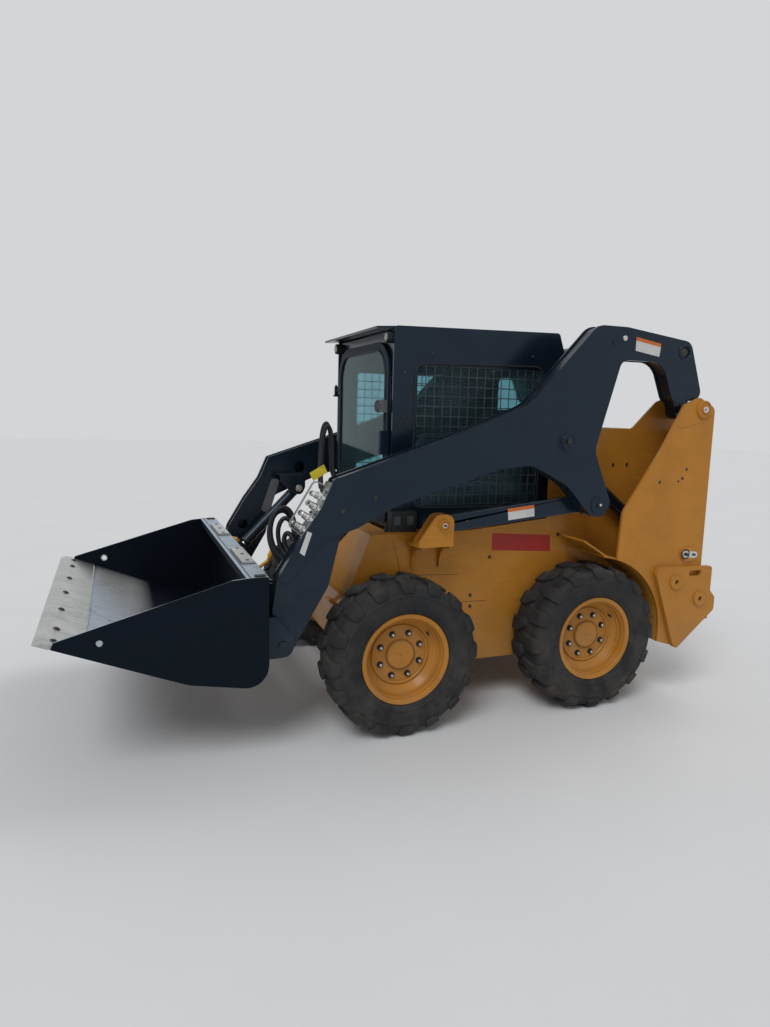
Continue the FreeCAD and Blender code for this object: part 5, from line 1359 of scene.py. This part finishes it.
class LOADER_OT_fit_rear(bpy.types.Operator):
    """Fits the rear door's latch and bolts, the hood's louvres and the lamps' bezels"""

    bl_idname = "loader.fit_rear"
    bl_label = "Fit Rear"

    def execute(self, context):
        bm = bmesh.new()
        add_box(bm, at(-1.272, 0.425, 0.945), at(-1.2615, 0.475, 1.055), finish="black plastic")
        add_bar(bm, at(-1.270, 0.450, 0.965), at(-1.284, 0.450, 0.985), 0.008, 16, finish="black plastic")
        add_bar(bm, at(-1.284, 0.450, 0.985), at(-1.284, 0.450, 1.035), 0.010, 16, finish="black plastic")
        for z in (0.60, 0.83, 1.06, 1.385):
            for y in (-0.475, 0.490):
                add_bolt(bm, at(-1.2620, y, z), -FORWARD, 0.012)
        for y in (-0.24, 0.0, 0.24):
            add_bolt(bm, at(-1.2620, y, 1.380), -FORWARD, 0.012)
            add_bolt(bm, at(-1.2620, y, 0.600), -FORWARD, 0.012)
        finish_piece(bm, "rear_door_fittings", "rear_door")
        bm = bmesh.new()
        for index in range(9):
            x = -1.12 + index * 0.045
            add_stadium(bm, at(x, -0.30, 1.4776), at(x, 0.30, 1.4776), UP, 0.009, 0.0045, finish="body paint")
        for y in (-0.43, 0.43):
            add_bolt(bm, at(-1.17, y, 1.478), UP, 0.014)
            add_bolt(bm, at(-0.66, y, 1.478), UP, 0.014)
        add_box(bm, at(-1.2172, -0.035, 1.446), at(-1.2145, 0.035, 1.472))
        finish_piece(bm, "hood_fittings", "hood")
        bm = bmesh.new()
        for index in range(5):
            low = 1.190 + index * 0.0135
            add_box(bm, at(-1.2630, 0.607, low), at(-1.2615, 0.693, low + 0.0055), finish="red lens")
        for y in (0.608, 0.692):
            add_bolt(bm, at(-1.2615, y, 1.247), -FORWARD, 0.007, washer=False)
        mirrored_copy(bm)
        finish_piece(bm, "tail_lamp_fittings", "chassis", bevel=0.0003)
        return {"FINISHED"}


class LoaderStageSettings(bpy.types.PropertyGroup):
    """Floor, light and camera."""

    floor_colour: bpy.props.FloatVectorProperty(
        name="Floor colour", description="Studio floor", subtype="COLOR", size=3,
        default=(0.74, 0.75, 0.76), min=0, max=1)
    key_strength: bpy.props.FloatProperty(
        name="Key light", description="Strength of the soft sun over the camera", default=1.25, min=0)
    fill_strength: bpy.props.FloatProperty(
        name="Fill", description="Strength of the light from all round", default=0.66, min=0)
    camera_place: bpy.props.FloatVectorProperty(
        name="Camera place", description="From the middle of the wheelbase", size=3, unit="LENGTH",
        default=(1.802, 3.700, 1.544))
    camera_yaw: bpy.props.FloatProperty(
        name="Camera yaw", description="Turn towards the loader's front", subtype="ANGLE", default=0.372)
    camera_pitch: bpy.props.FloatProperty(
        name="Camera pitch", description="Tilt downwards", subtype="ANGLE", default=0.145)
    camera_roll: bpy.props.FloatProperty(
        name="Camera roll", description="Turn about the view", subtype="ANGLE", default=0.026)
    focal_length: bpy.props.FloatProperty(
        name="Focal length", description="For a 36 mm tall sensor, in mm", default=24.4, min=1)


class LOADER_OT_set_stage(bpy.types.Operator):
    """Lays the floor, hangs the lamps and sets the camera at the photograph's angle"""

    bl_idname = "loader.set_stage"
    bl_label = "Set Stage"

    def execute(self, context):
        stage = context.scene.loader_stage
        bm = bmesh.new()
        bmesh.ops.create_grid(bm, x_segments=1, y_segments=1, size=30)
        mesh = bpy.data.meshes.new("studio_floor")
        bm.to_mesh(mesh)
        bm.free()
        floor = bpy.data.objects.new("studio_floor", mesh)
        context.scene.collection.objects.link(floor)
        material = bpy.data.materials.new("Studio floor")
        material.use_nodes = True
        tree = material.node_tree
        place = add_node(tree, "ShaderNodeTexCoord", (-1300, 0)).outputs["Object"]
        clouds = add_node(tree, "ShaderNodeTexNoise", (-1000, 0),
                          {"Vector": place, "Scale": 1.5, "Detail": 6.0, "Roughness": 0.6})
        shader = tree.nodes["Principled BSDF"]
        shader.inputs["Specular IOR Level"].default_value = 0.1
        colour = tuple(stage.floor_colour)
        deeper = [value * 0.93 for value in colour]
        tree.links.new(mix_colour(tree, clouds.outputs["Fac"], colour, deeper, (-500, 0)),
                       shader.inputs["Base Color"])
        shader.inputs["Roughness"].default_value = 0.9
        mesh.materials.append(material)

        world = bpy.data.worlds.new("Studio")
        world.use_nodes = True
        tree = world.node_tree
        seen = tree.nodes["Background"]
        seen.inputs["Color"].default_value = (0.655, 0.665, 0.675, 1)
        light_path = add_node(tree, "ShaderNodeLightPath", (-600, 200))
        direct = add_node(tree, "ShaderNodeMath", (-350, 200),
                          {0: light_path.outputs["Is Camera Ray"], 1: light_path.outputs["Is Glossy Ray"]},
                          operation="MAXIMUM")
        through = add_node(tree, "ShaderNodeMath", (-200, 200),
                           {0: direct.outputs[0], 1: light_path.outputs["Is Transmission Ray"]},
                           operation="MAXIMUM")
        strength = mix_value(tree, through.outputs[0], stage.fill_strength, 1.0, (-50, 200))
        tree.links.new(strength, seen.inputs["Strength"])
        context.scene.world = world

        for name, towards, strength in (("key", (-0.55, -0.62, -1.0), stage.key_strength),
                                        ("back", (0.75, 0.40, -1.0), stage.key_strength * 0.45)):
            lamp = bpy.data.lights.new(name, "SUN")
            lamp.energy = strength
            lamp.angle = math.radians(28)
            holder = bpy.data.objects.new(name, lamp)
            context.scene.collection.objects.link(holder)
            holder.rotation_euler = Vector(towards).to_track_quat("-Z", "Y").to_euler()

        yaw, pitch, roll = stage.camera_yaw, stage.camera_pitch, stage.camera_roll
        ahead = Vector((-math.sin(yaw) * math.cos(pitch), -math.cos(yaw) * math.cos(pitch), -math.sin(pitch)))
        right = Vector((-math.cos(yaw), math.sin(yaw), 0))
        above = right.cross(ahead)
        right, above = (right * math.cos(roll) + above * math.sin(roll),
                        above * math.cos(roll) - right * math.sin(roll))
        lens = bpy.data.cameras.new("photo_view")
        lens.sensor_fit = "VERTICAL"
        lens.sensor_height = 36
        lens.lens = stage.focal_length
        camera = bpy.data.objects.new("photo_view", lens)
        context.scene.collection.objects.link(camera)
        matrix = Matrix((right, above, -ahead)).transposed().to_4x4()
        matrix.translation = at(*stage.camera_place)
        camera.matrix_world = matrix
        context.scene.camera = camera
        context.scene.view_settings.view_transform = "Standard"
        return {"FINISHED"}


class LOADER_PT_looks(bpy.types.Panel):
    """Lists the loader's groups of pieces"""

    bl_idname = "LOADER_PT_looks"
    bl_label = "Loader"
    bl_space_type = "VIEW_3D"
    bl_region_type = "UI"
    bl_category = "Loader"

    def draw(self, context):
        for operator in OPERATORS:
            self.layout.operator(operator.bl_idname)


OPERATORS = [
    LOADER_OT_mix_finishes,
    LOADER_OT_pad_seat,
    LOADER_OT_build_tyres,
    LOADER_OT_fit_wheels,
    LOADER_OT_fit_bucket,
    LOADER_OT_fit_arms,
    LOADER_OT_fit_links,
    LOADER_OT_fit_couplings,
    LOADER_OT_fit_chassis,
    LOADER_OT_fit_cab,
    LOADER_OT_fit_rear,
    LOADER_OT_paint_solids,
    LOADER_OT_set_stage,
]
SETTINGS = [
    ("loader_paint", LoaderPaintSettings),
    ("loader_tyres", LoaderTyreSettings),
    ("loader_wheels", LoaderWheelSettings),
    ("loader_seat", LoaderSeatSettings),
    ("loader_stage", LoaderStageSettings),
]


def register():
    for name, settings in SETTINGS:
        bpy.utils.register_class(settings)
        setattr(bpy.types.Scene, name, bpy.props.PointerProperty(type=settings))
    for kind in [*OPERATORS, LOADER_PT_looks]:
        bpy.utils.register_class(kind)


def unregister():
    for kind in reversed([*OPERATORS, LOADER_PT_looks]):
        bpy.utils.unregister_class(kind)
    for name, settings in reversed(SETTINGS):
        delattr(bpy.types.Scene, name)
        bpy.utils.unregister_class(settings)


def main():
    register()
    for operator in OPERATORS:
        group, name = operator.bl_idname.split(".")
        getattr(getattr(bpy.ops, group), name)()


if __name__ == "__main__":
    main()
